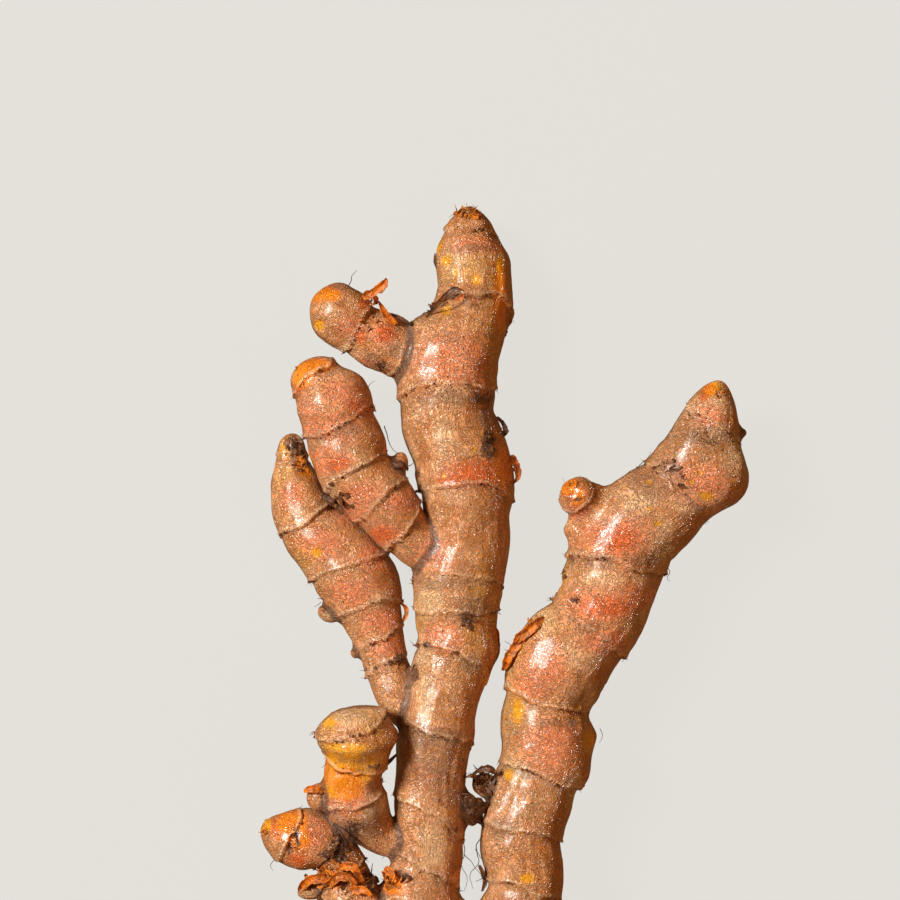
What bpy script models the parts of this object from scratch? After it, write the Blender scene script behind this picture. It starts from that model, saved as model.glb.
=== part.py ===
"""Hand of fresh turmeric: a mother rhizome with ringed fingers, a stub and buds, grown as one solid.

The tables are in millimetres and the scene is in metres. The hand lies on Z = 0, with its longest
finger along +Y. Each shoot is a tube swept along its own centreline. A leaf once grew at each ring,
and its scar leaves a raised rim on the tip side and a narrow neck on the base side.
"""

import bmesh
import bpy
import numpy as np
from mathutils import Vector, noise

MM = 0.001

# Relief of the skin
LEDGE_RUN = 0.6       # length of the step from a ring's rim down to the neck below it
LEDGE_RISE = 0.32     # how far the rim stands out from the shoot
LEDGE_DROP = 0.38     # how far the neck sinks into the shoot
RIM_REACH = 0.35      # share of an internode over which the skin climbs to its rim
NECK_REACH = 0.30     # share of an internode over which it recovers from the neck
RING_WAVE = 0.25      # unevenness of a ring along the shoot
LUMP_SIZE = 6.5       # width of one lump
LUMP_HEIGHT = 0.045   # height of a lump, as a share of the shoot's radius

# Fineness of the surface
ROW_PITCH = 3.3       # spacing of the cross-sections along a shoot
CAP_ROWS = 3          # cross-sections in a rounded tip
SLOPE_REACH = 3.5     # distance each way over which a centreline's direction is taken

SLIVER = 0.03         # edges shorter than this are closed up after the joining

# Resting faces
FLOOR_SIZE = (200.0, 300.0, 20.0)   # block that trims the underside flat at Z = 0

SKIN_COLOUR = (0.56, 0.28, 0.11, 1.0)
SKIN_ROUGHNESS = 0.5

# Each shoot: sides of its cross-section, length of its rounded tip,
# stations from tip to base as (x, y, z, radius), and
# rings as (distance from the tip, lean to the side, lean to the front, height of the step).
SHOOTS = {
    "central_finger": (
        22, 3.4,
        ((-5.9, 72.7, 6.0, 2.9), (-6.0, 68.9, 6.5, 4.3), (-6.1, 66.6, 6.8, 5.4),
         (-5.5, 62.0, 7.4, 6.3), (-5.1, 58.9, 7.7, 6.3), (-6.2, 53.5, 8.1, 6.8),
         (-9.3, 47.9, 8.3, 8.5), (-10.1, 43.6, 8.3, 8.5), (-9.8, 40.2, 8.4, 8.3),
         (-9.8, 37.0, 8.6, 8.0), (-7.5, 30.0, 9.0, 8.2), (-6.5, 22.0, 9.4, 7.7),
         (-6.5, 19.5, 9.5, 7.2), (-6.5, 15.6, 9.6, 7.2), (-8.0, 9.1, 9.8, 7.6), (-8.3, 0.9, 10.0, 6.8),
         (-8.0, -2.1, 10.1, 7.1), (-8.8, -4.3, 10.2, 6.5), (-10.8, -11.1, 10.6, 6.2),
         (-11.6, -15.6, 10.8, 6.3), (-12.8, -25.2, 11.2, 5.9), (-12.8, -29.8, 11.4, 6.1),
         (-13.3, -38.0, 11.7, 5.8), (-14.5, -44.8, 12.0, 7.1), (-13.7, -49.0, 12.3, 8.5),
         (-12.3, -53.3, 12.6, 9.5)),
        ((4.5, 0.7, 0.3, 0.8), (18.5, -0.8, -3.0, 1.7), (32.9, -0.4, -1.1, 1.0),
         (50.8, 1.4, -1.4, 1.0), (66.1, -0.3, -2.2, 0.9), (70.3, 0.0, 0.5, 0.5),
         (79.3, 1.7, -1.6, 1.1), (92.1, 0.9, -0.4, 0.9), (106.0, 3.4, -0.8, 0.8),
         (115.5, 1.9, -1.4, 1.0), (120.6, 0.3, -0.6, 0.8))),
    "knob": (
        18, 4.1,
        ((-32.9, 56.9, 10.6, 3.9), (-30.5, 55.8, 10.4, 4.8), (-27.2, 53.8, 10.1, 5.2),
         (-24.7, 51.8, 9.9, 4.6), (-21.8, 50.2, 9.5, 5.0), (-18.4, 48.4, 9.1, 4.6),
         (-16.1, 47.0, 8.8, 4.8), (-13.0, 45.8, 8.5, 4.8)),
        ((9.4, -0.4, 0.3, 1.0), (17.4, -0.6, 0.4, 0.9))),
    "second_finger": (
        20, 2.5,
        ((-33.4, 46.8, 12.4, 3.6), (-32.0, 43.4, 12.3, 4.6), (-29.5, 40.0, 12.2, 6.5),
         (-28.1, 35.6, 12.2, 6.1), (-26.8, 31.7, 12.2, 6.5), (-25.4, 28.0, 12.2, 6.1),
         (-21.8, 23.7, 12.1, 5.9), (-19.6, 21.0, 11.9, 5.4), (-17.9, 18.4, 11.6, 4.8),
         (-15.7, 16.2, 11.2, 4.1), (-10.3, 12.5, 10.0, 3.9)),
        ((3.1, -0.8, -0.1, 0.7), (12.5, -0.9, 0.0, 1.0), (20.6, -0.4, 0.2, 1.0), (26.9, 0.0, 0.2, 0.9),
         (33.2, -1.2, 0.2, 0.9))),
    "lower_finger": (
        18, 1.7,
        ((-36.3, 34.2, 6.6, 1.7), (-36.5, 30.9, 6.6, 2.6), (-34.5, 21.2, 6.8, 5.3),
         (-33.2, 18.3, 6.9, 5.7), (-30.5, 15.6, 7.0, 6.4), (-25.4, 9.1, 7.2, 7.0),
         (-22.2, 1.4, 7.7, 4.8), (-20.1, -5.5, 8.5, 3.8), (-17.8, -10.8, 9.4, 3.8),
         (-13.0, -15.6, 10.4, 3.7)),
        ((3.7, 0.0, 0.2, 0.8), (15.1, -0.2, 0.0, 1.0), (25.4, 2.2, 0.0, 0.9), (33.6, 0.8, 0.0, 0.9),
         (39.5, -1.0, -0.4, 0.8), (44.1, -0.5, 0.0, 0.8))),
    "stub": (
        20, 2.0,
        ((-25.9, -11.9, 17.6, 5.1), (-25.5, -15.0, 17.1, 6.3), (-24.8, -17.1, 16.8, 6.7),
         (-25.2, -18.8, 16.4, 5.9), (-25.2, -20.3, 16.0, 5.3), (-25.8, -23.9, 15.2, 4.8),
         (-25.2, -27.8, 14.2, 5.4), (-19.8, -34.4, 12.0, 3.1), (-17.1, -35.1, 11.8, 3.1)),
        ((2.8, -1.3, 0.9, 1.2), (9.0, 0.3, 1.3, 1.0), (14.2, -0.1, 1.8, 1.0))),
    "bulb": (
        20, 3.8,
        ((-41.3, -32.2, 12.2, 2.7), (-38.8, -33.4, 12.1, 3.7), (-37.5, -33.9, 12.0, 4.5),
         (-34.3, -34.5, 11.8, 5.4), (-29.3, -36.5, 11.5, 4.2), (-28.1, -38.2, 11.5, 4.0),
         (-26.9, -42.8, 11.7, 4.8), (-23.9, -47.9, 12.2, 5.6), (-17.3, -52.4, 12.6, 6.1)),
        ((4.7, 1.0, 0.2, 0.8), (12.0, 0.0, 0.0, 1.0), (17.0, -0.6, 0.0, 1.0), (21.6, -0.8, 0.0, 1.0))),
    "right_finger": (
        22, 3.4,
        ((36.5, 43.1, 11.2, 2.1), (34.3, 34.8, 10.3, 5.7), (33.6, 31.2, 9.9, 6.6),
         (31.7, 27.8, 9.5, 7.1), (29.2, 24.2, 9.1, 7.4), (21.7, 17.8, 8.5, 8.4), (17.9, 9.1, 8.4, 8.3),
         (16.7, 5.0, 8.4, 7.8), (14.2, 0.9, 8.4, 7.8), (10.6, -2.8, 8.4, 8.5), (8.7, -6.0, 8.4, 8.6),
         (7.9, -9.1, 8.4, 8.2), (7.1, -12.0, 8.5, 7.4), (7.1, -19.6, 8.8, 7.9), (6.7, -22.2, 8.9, 7.7),
         (5.5, -24.6, 9.0, 7.0), (4.3, -28.5, 9.3, 7.0), (2.5, -34.6, 9.8, 6.8),
         (3.3, -41.2, 10.4, 6.6), (3.1, -43.6, 10.7, 6.2), (-3.8, -54.1, 12.1, 7.1),
         (-7.2, -56.4, 12.5, 7.5)),
        ((7.3, 2.0, 0.0, 1.5), (20.7, 0.1, -1.5, 1.5), (36.9, -1.4, -0.2, 1.1), (49.0, -0.4, 0.0, 1.2),
         (63.7, 1.1, 0.4, 1.2), (76.7, -0.1, -0.5, 1.2), (87.3, 0.7, -1.2, 1.0), (96.0, 1.3, 0.0, 1.0))),
    "mother": (
        26, 2.4,
        ((-8.6, -72.7, 12.2, 7.8), (-8.9, -71.1, 12.4, 8.8), (-9.3, -69.6, 12.6, 10.4),
         (-10.3, -63.2, 12.8, 13.2), (-11.0, -59.2, 12.9, 13.4), (-11.6, -55.3, 12.9, 12.9),
         (-12.3, -51.6, 12.9, 11.2), (-13.5, -46.2, 12.7, 5.8), (-13.7, -44.6, 12.6, 3.1)),
        ((3.5, 0.3, 0.0, 1.4), (8.7, -0.4, 0.4, 1.2), (14.2, 0.5, -0.3, 1.2), (20.0, 0.0, 0.0, 1.0))),
    "right_elbow": (
        18, 2.6,
        ((41.0, 24.5, 11.2, 3.3), (37.9, 25.7, 10.8, 5.7), (34.8, 27.4, 10.1, 6.9), (31.6, 29.2, 9.6, 6.4)),
        ()),
    "right_knee": (
        14, 1.4,
        ((38.5, 32.6, 11.2, 1.8), (37.5, 30.2, 11.9, 3.5), (36.4, 26.4, 12.0, 4.4), (32.6, 23.6, 11.0, 3.8)),
        ()),
    "shoulder_bud": (
        14, 1.5,
        ((10.9, 24.7, 15.0, 2.3), (11.6, 24.1, 13.5, 2.9), (12.8, 22.9, 11.5, 3.5),
         (18.4, 20.7, 9.1, 4.2)),
        ((2.6, 0.0, 0.0, 0.7),)),
    "second_finger_bud": (
        10, 1.2,
        ((-17.3, 30.9, 12.2, 1.0), (-18.7, 28.2, 12.2, 2.1), (-20.8, 25.6, 12.2, 2.8)),
        ()),
    "central_bud": (
        10, 1.4,
        ((-4.6, -28.4, 11.0, 1.5), (-5.9, -29.0, 11.1, 2.6), (-9.3, -30.0, 11.3, 3.5)),
        ()),
    "curled_bud": (
        10, 1.4,
        ((-5.4, -24.4, 10.3, 1.5), (-3.8, -25.4, 10.2, 2.0), (-2.1, -26.8, 9.9, 2.0),
         (0.9, -28.1, 9.6, 2.0)),
        ()),
    "stub_nub": (
        10, 1.0,
        ((-33.6, -27.6, 14.6, 1.5), (-31.8, -27.2, 14.6, 2.3), (-28.6, -27.1, 14.5, 2.9)),
        ()),
    "tip_nub": (
        8, 0.9,
        ((41.1, 34.3, 10.0, 0.9), (39.7, 34.1, 10.0, 1.2), (36.6, 33.4, 10.3, 1.5)),
        ()),
    "lower_finger_nub": (
        8, 0.9,
        ((-32.0, 3.3, 7.4, 1.0), (-30.4, 3.6, 7.4, 1.8), (-27.5, 4.8, 7.4, 2.6)),
        ()),
    "lower_finger_scar": (
        8, 0.7,
        ((-26.4, -3.5, 7.8, 0.9), (-25.2, -3.1, 7.8, 1.2), (-22.5, -2.3, 7.9, 1.4)),
        ()),
    "bulb_leaf_base": (
        12, 1.4,
        ((-35.3, -44.1, 10.5, 1.0), (-31.4, -42.9, 10.9, 2.0), (-28.0, -42.8, 11.3, 2.4)),
        ()),
    "shoulder_fold": (
        12, 2.0,
        ((9.9, 17.9, 9.6, 2.2), (12.0, 17.8, 9.5, 2.9), (15.9, 17.1, 9.2, 3.4)),
        ()),
    "side_swelling": (
        14, 1.7,
        ((15.9, -17.3, 8.8, 2.2), (14.2, -17.3, 8.8, 2.7), (9.9, -17.9, 8.8, 3.1)),
        ()),
}


def clear_scene():
    for obj in list(bpy.data.objects):
        bpy.data.objects.remove(obj, do_unlink=True)


def smooth(share):
    share = np.clip(share, 0.0, 1.0)
    return share * share * (3.0 - 2.0 * share)


def station_distances(stations):
    return np.concatenate([[0.0], np.cumsum(np.linalg.norm(np.diff(stations[:, :3], axis=0), axis=1))])


def along(stations, distance):
    """(x, y, z, radius) at each distance from the tip: a smooth curve through the stations."""
    knots = station_distances(stations)
    gap = np.diff(knots)[:, None]
    rise = np.diff(stations, axis=0) / gap
    slope = np.empty_like(stations)
    slope[0], slope[-1] = rise[0], rise[-1]
    slope[1:-1] = (rise[:-1] * gap[1:] + rise[1:] * gap[:-1]) / (gap[1:] + gap[:-1])
    # The radius takes the harmonic mean instead, so that it never overshoots a station.
    before, after = rise[:-1, 3], rise[1:, 3]
    total = np.where(before * after > 0.0, before + after, 1.0)
    slope[1:-1, 3] = np.where(before * after > 0.0, 2.0 * before * after / total, 0.0)
    i = np.clip(np.searchsorted(knots, distance, side="right") - 1, 0, len(gap) - 1)
    t = ((distance - knots[i]) / gap[i, 0])[..., None]
    return (
        (2 * t**3 - 3 * t**2 + 1) * stations[i]
        + (t**3 - 2 * t**2 + t) * gap[i] * slope[i]
        + (3 * t**2 - 2 * t**3) * stations[i + 1]
        + (t**3 - t**2) * gap[i] * slope[i + 1]
    )


def frames(stations, distance):
    """Centre, radius and the sideways and upward directions of the cross-section at each distance."""
    here = along(stations, distance)
    length = station_distances(stations)[-1]
    ahead = along(stations, np.minimum(distance + SLOPE_REACH, length))
    behind = along(stations, np.maximum(distance - SLOPE_REACH, 0.0))
    tangent = ahead[..., :3] - behind[..., :3]
    tangent /= np.linalg.norm(tangent, axis=-1, keepdims=True)
    upward = np.array([0.0, 0.0, 1.0]) - tangent * tangent[..., 2:]
    upward /= np.linalg.norm(upward, axis=-1, keepdims=True)
    return here[..., :3], here[..., 3], np.cross(upward, tangent), upward


def ring_lines(rings, length, angles):
    """Where each internode starts and ends, as a distance from the tip for every angle."""
    lines = [np.zeros_like(angles)]
    for number, (distance, sideways, frontal, _) in enumerate(rings):
        wave = RING_WAVE * np.sin(3.0 * angles + 2.4 * number)
        lines.append(distance + sideways * np.cos(angles) + frontal * np.sin(angles) + wave)
    lines.append(np.full_like(angles, length))
    return lines


def shoot_rows(rings, cap, length, angles):
    """Distance from the tip and height of the relief, for every cross-section and angle."""
    lines = ring_lines(rings, length, angles)
    steps = [0.0] + [ring[3] for ring in rings] + [0.0]
    distances, reliefs = [], []
    for number in range(len(lines) - 1):
        span = float(np.mean(lines[number + 1] - lines[number]))
        if number == 0:
            turns = np.arange(1, CAP_ROWS + 1) / CAP_ROWS * 0.5 * np.pi
            shares = list(cap * (1.0 - np.cos(turns)) / span)
            start = cap / span
        else:
            start = min(LEDGE_RUN / span, 0.3)
            shares = [start]
        count = max(2, round(span * (1.0 - start) / ROW_PITCH))
        shares += list(np.linspace(start, 1.0, count + 1)[1:])
        for share in shares:
            rim = LEDGE_RISE * steps[number + 1] * smooth((share - 1.0 + RIM_REACH) / RIM_REACH)
            neck = LEDGE_DROP * steps[number] * (1.0 - smooth((share - start) / NECK_REACH))
            distances.append(lines[number] * (1.0 - share) + lines[number + 1] * share)
            reliefs.append(np.full_like(angles, rim - neck))
    return np.array(distances), np.array(reliefs)


def lumps(centres, outward, radius):
    points = (centres + outward * radius[..., None]) / LUMP_SIZE
    flat = [noise.noise(Vector(point)) for point in points.reshape(-1, 3)]
    return radius * LUMP_HEIGHT * np.array(flat).reshape(radius.shape)


def make_shoot(name, sides, cap, stations, rings):
    """One closed, ringed tube."""
    stations = np.array(stations)
    length = station_distances(stations)[-1]
    angles = np.arange(sides) * 2.0 * np.pi / sides
    distance, relief = shoot_rows(rings, cap, length, angles)
    centre, radius, sideways, upward = frames(stations, distance)
    outward = sideways * np.cos(angles)[:, None] + upward * np.sin(angles)[:, None]
    dome = np.sqrt(1.0 - np.clip(1.0 - distance / cap, 0.0, 1.0) ** 2)
    radius = radius * dome + relief
    radius = radius + lumps(centre, outward, radius)
    rows = centre + outward * radius[..., None]
    tip, base = along(stations, np.array([0.0, length]))[:, :3]
    mesh = bmesh.new()
    grid = [[mesh.verts.new(Vector(point) * MM) for point in row] for row in rows]
    for row, following in zip(grid, grid[1:]):
        for k in range(sides):
            mesh.faces.new((row[k], row[k - 1], following[k - 1], following[k]))
    for row, pole in ((grid[0], tip), (grid[-1], base)):
        centre_vertex = mesh.verts.new(Vector(pole) * MM)
        for k in range(sides):
            mesh.faces.new((row[k - 1], row[k], centre_vertex))
    bmesh.ops.recalc_face_normals(mesh, faces=mesh.faces)
    return add_object(name, mesh)


def add_object(name, mesh):
    data = bpy.data.meshes.new(name)
    mesh.to_mesh(data)
    mesh.free()
    obj = bpy.data.objects.new(name, data)
    bpy.context.scene.collection.objects.link(obj)
    return obj


def apply_boolean(body, operation, **operand):
    modifier = body.modifiers.new(operation.lower(), "BOOLEAN")
    modifier.operation = operation
    modifier.solver = "EXACT"
    for key, value in operand.items():
        setattr(modifier, key, value)
    with bpy.context.temp_override(object=body, active_object=body):
        bpy.ops.object.modifier_apply(modifier=modifier.name)


def grow_together(name, shoots):
    """Joins the shoots into one solid."""
    body, *others = shoots
    group = bpy.data.collections.new("shoots")
    for shoot in others:
        bpy.context.scene.collection.objects.unlink(shoot)
        group.objects.link(shoot)
    apply_boolean(body, "UNION", operand_type="COLLECTION", collection=group)
    for shoot in others:
        bpy.data.objects.remove(shoot, do_unlink=True)
    bpy.data.collections.remove(group)
    body.name = body.data.name = name
    return body


def flatten_underside(body):
    """Trims what hangs below Z = 0, which leaves the small flats that the hand rests on."""
    mesh = bmesh.new()
    bmesh.ops.create_cube(mesh, size=1.0)
    bmesh.ops.scale(mesh, vec=Vector(FLOOR_SIZE) * MM, verts=mesh.verts)
    bmesh.ops.translate(mesh, vec=Vector((0.0, 0.0, -0.5 * FLOOR_SIZE[2] * MM)), verts=mesh.verts)
    floor = add_object("floor_cutter", mesh)
    apply_boolean(body, "DIFFERENCE", object=floor)
    bpy.data.objects.remove(floor, do_unlink=True)


def drop_slivers(body):
    mesh = bmesh.new()
    mesh.from_mesh(body.data)
    bmesh.ops.remove_doubles(mesh, verts=mesh.verts, dist=SLIVER * MM)
    bmesh.ops.dissolve_degenerate(mesh, edges=mesh.edges, dist=SLIVER * MM)
    bmesh.ops.triangulate(mesh, faces=mesh.faces)
    mesh.to_mesh(body.data)
    mesh.free()


def centre_on_origin(body):
    points = np.array([vertex.co for vertex in body.data.vertices])
    low, high = points.min(axis=0), points.max(axis=0)
    middle = Vector((low + high) / 2.0)
    middle.z = low[2]
    for vertex in body.data.vertices:
        vertex.co -= middle


def skin_material():
    material = bpy.data.materials.new("turmeric_skin")
    material.use_nodes = True
    shader = material.node_tree.nodes["Principled BSDF"]
    shader.inputs["Base Color"].default_value = SKIN_COLOUR
    shader.inputs["Roughness"].default_value = SKIN_ROUGHNESS
    return material


clear_scene()
rhizome = grow_together(
    "turmeric_rhizome", [make_shoot(name, *shape) for name, shape in SHOOTS.items()]
)
flatten_underside(rhizome)
drop_slivers(rhizome)
centre_on_origin(rhizome)
rhizome.data.materials.clear()
rhizome.data.materials.append(skin_material())
rhizome.data.shade_smooth()
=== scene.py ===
"""Looks of a hand of fresh turmeric: ringed, skin-covered fingers on a mother rhizome, lying on a pale table.

Lengths in the tables are in millimetres and the scene is in metres. A shoot is measured from its tip:
tip-side means nearer the tip and root-side nearer the mother.
"""

import bmesh
import bpy
import numpy as np
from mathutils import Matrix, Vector, kdtree, noise
from mathutils.bvhtree import BVHTree


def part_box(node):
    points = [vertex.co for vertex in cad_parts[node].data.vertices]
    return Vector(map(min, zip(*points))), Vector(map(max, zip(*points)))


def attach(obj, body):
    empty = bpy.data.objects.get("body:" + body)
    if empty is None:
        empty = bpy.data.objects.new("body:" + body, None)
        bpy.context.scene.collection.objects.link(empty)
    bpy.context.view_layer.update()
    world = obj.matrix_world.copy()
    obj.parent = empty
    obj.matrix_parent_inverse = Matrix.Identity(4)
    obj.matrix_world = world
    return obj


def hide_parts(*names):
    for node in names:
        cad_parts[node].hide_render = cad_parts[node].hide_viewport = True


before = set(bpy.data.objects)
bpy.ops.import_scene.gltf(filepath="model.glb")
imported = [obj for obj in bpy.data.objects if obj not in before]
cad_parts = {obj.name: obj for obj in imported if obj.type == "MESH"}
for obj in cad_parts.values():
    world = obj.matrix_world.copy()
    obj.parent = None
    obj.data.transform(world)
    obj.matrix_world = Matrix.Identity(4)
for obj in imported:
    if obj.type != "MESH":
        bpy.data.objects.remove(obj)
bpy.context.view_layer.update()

# ---------------------------------------------------------------------------------------------
# The rhizome: a mother piece with its fingers, stub, knob and buds, one continuous body of flesh
# under a thin corky skin. It grew as one piece, a finger at a time, and each ring is the scar of
# a leaf base: the skin swells to a ragged rim on its tip side and sinks to a neck below it.

MM = 0.001
MM_PER_CM = 10.0
COLUMN_WIDTH = 0.51     # mean width of a face round a shoot
ROW_HEIGHT = 0.46       # height of a face along a shoot
TOP_CROWDING = 0.38     # how much finer the upper side is than the underside
FEWEST_COLUMNS = 24

RIM_RISE = 0.16         # how far a rim stands out
NECK_DROP = 0.22        # how far a neck sinks in
RIM_SHARE = 0.35        # share of an internode over which the skin climbs to its rim
NECK_SHARE = 0.30       # share over which it recovers from the neck
LIP_HEIGHT = 0.19       # fine raised lip at the very edge of a rim
LIP_WIDTH = 0.8
RING_WAVE = 0.25        # slow unevenness of a ring along the shoot
RING_WAVES = 3.0        # how often it comes round the ring
RING_TURN = 2.4         # how far it is turned from one ring to the next, in radians
RAGGED = 0.85           # quick unevenness of a ring's torn edge
TEARS = ((6.0, 1.0, 0.0), (2.2, 0.5, 0.5), (0.9, 0.25, 0.8))   # its width, weight and own seed
KEPT_STRETCH = 4.0      # length round a rim over which it stands up or is torn off
KEPT_MEAN = 0.6         # how much of a rim stands up, and how much that varies
KEPT_SWING = 1.2
RIM_TORN = 0.35         # share of a rim's rise that is left where it is torn off
NECK_TORN = 0.5         # share of its neck's drop that is left there
LEDGE_RUN = 0.30        # length of the step from a rim down to its neck
LEDGE_FOOT = 0.25       # face below the ledge
RIM_FACES = (0.35, 0.15)   # where the last two rows before a rim lie, measured back from it
FAR = 30.0              # stands for the distance to a rim at the ends, where there is none
WRINKLE_REACH = 4.5     # how far the creases run from a rim towards the tip
FELT_REACH = 3.0        # how far the felty weave runs from a rim towards the root
SLOPE_REACH = 3.5       # distance each way over which a centreline's direction is taken

# Relief over the whole skin: width round the shoot, length along it, height
LUMPS = (6.5, 6.5, 0.34)
DIMPLES = (2.4, 3.2, 0.19)
FOLDS = (1.6, 7.0, 0.10)
CREASES = (0.95, 1.9, 0.065)
WEAVE = (0.8, 1.0, 0.06)
RIDGE_TOP = 0.6         # folds and creases are ridges, this high and falling off this fast
RIDGE_FALL = 2.2
FULL_GIRTH = 4.0        # a shoot of less than this radius has shallower relief
TIP_RELIEF = 0.25       # share of the relief that is left at the very tip

# How far apart the noise of shoots, of kinds of relief and of rings is drawn
SHOOTS_APART = 13.7
RELIEFS_APART = 5.1
RINGS_APART = 7.31

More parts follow.
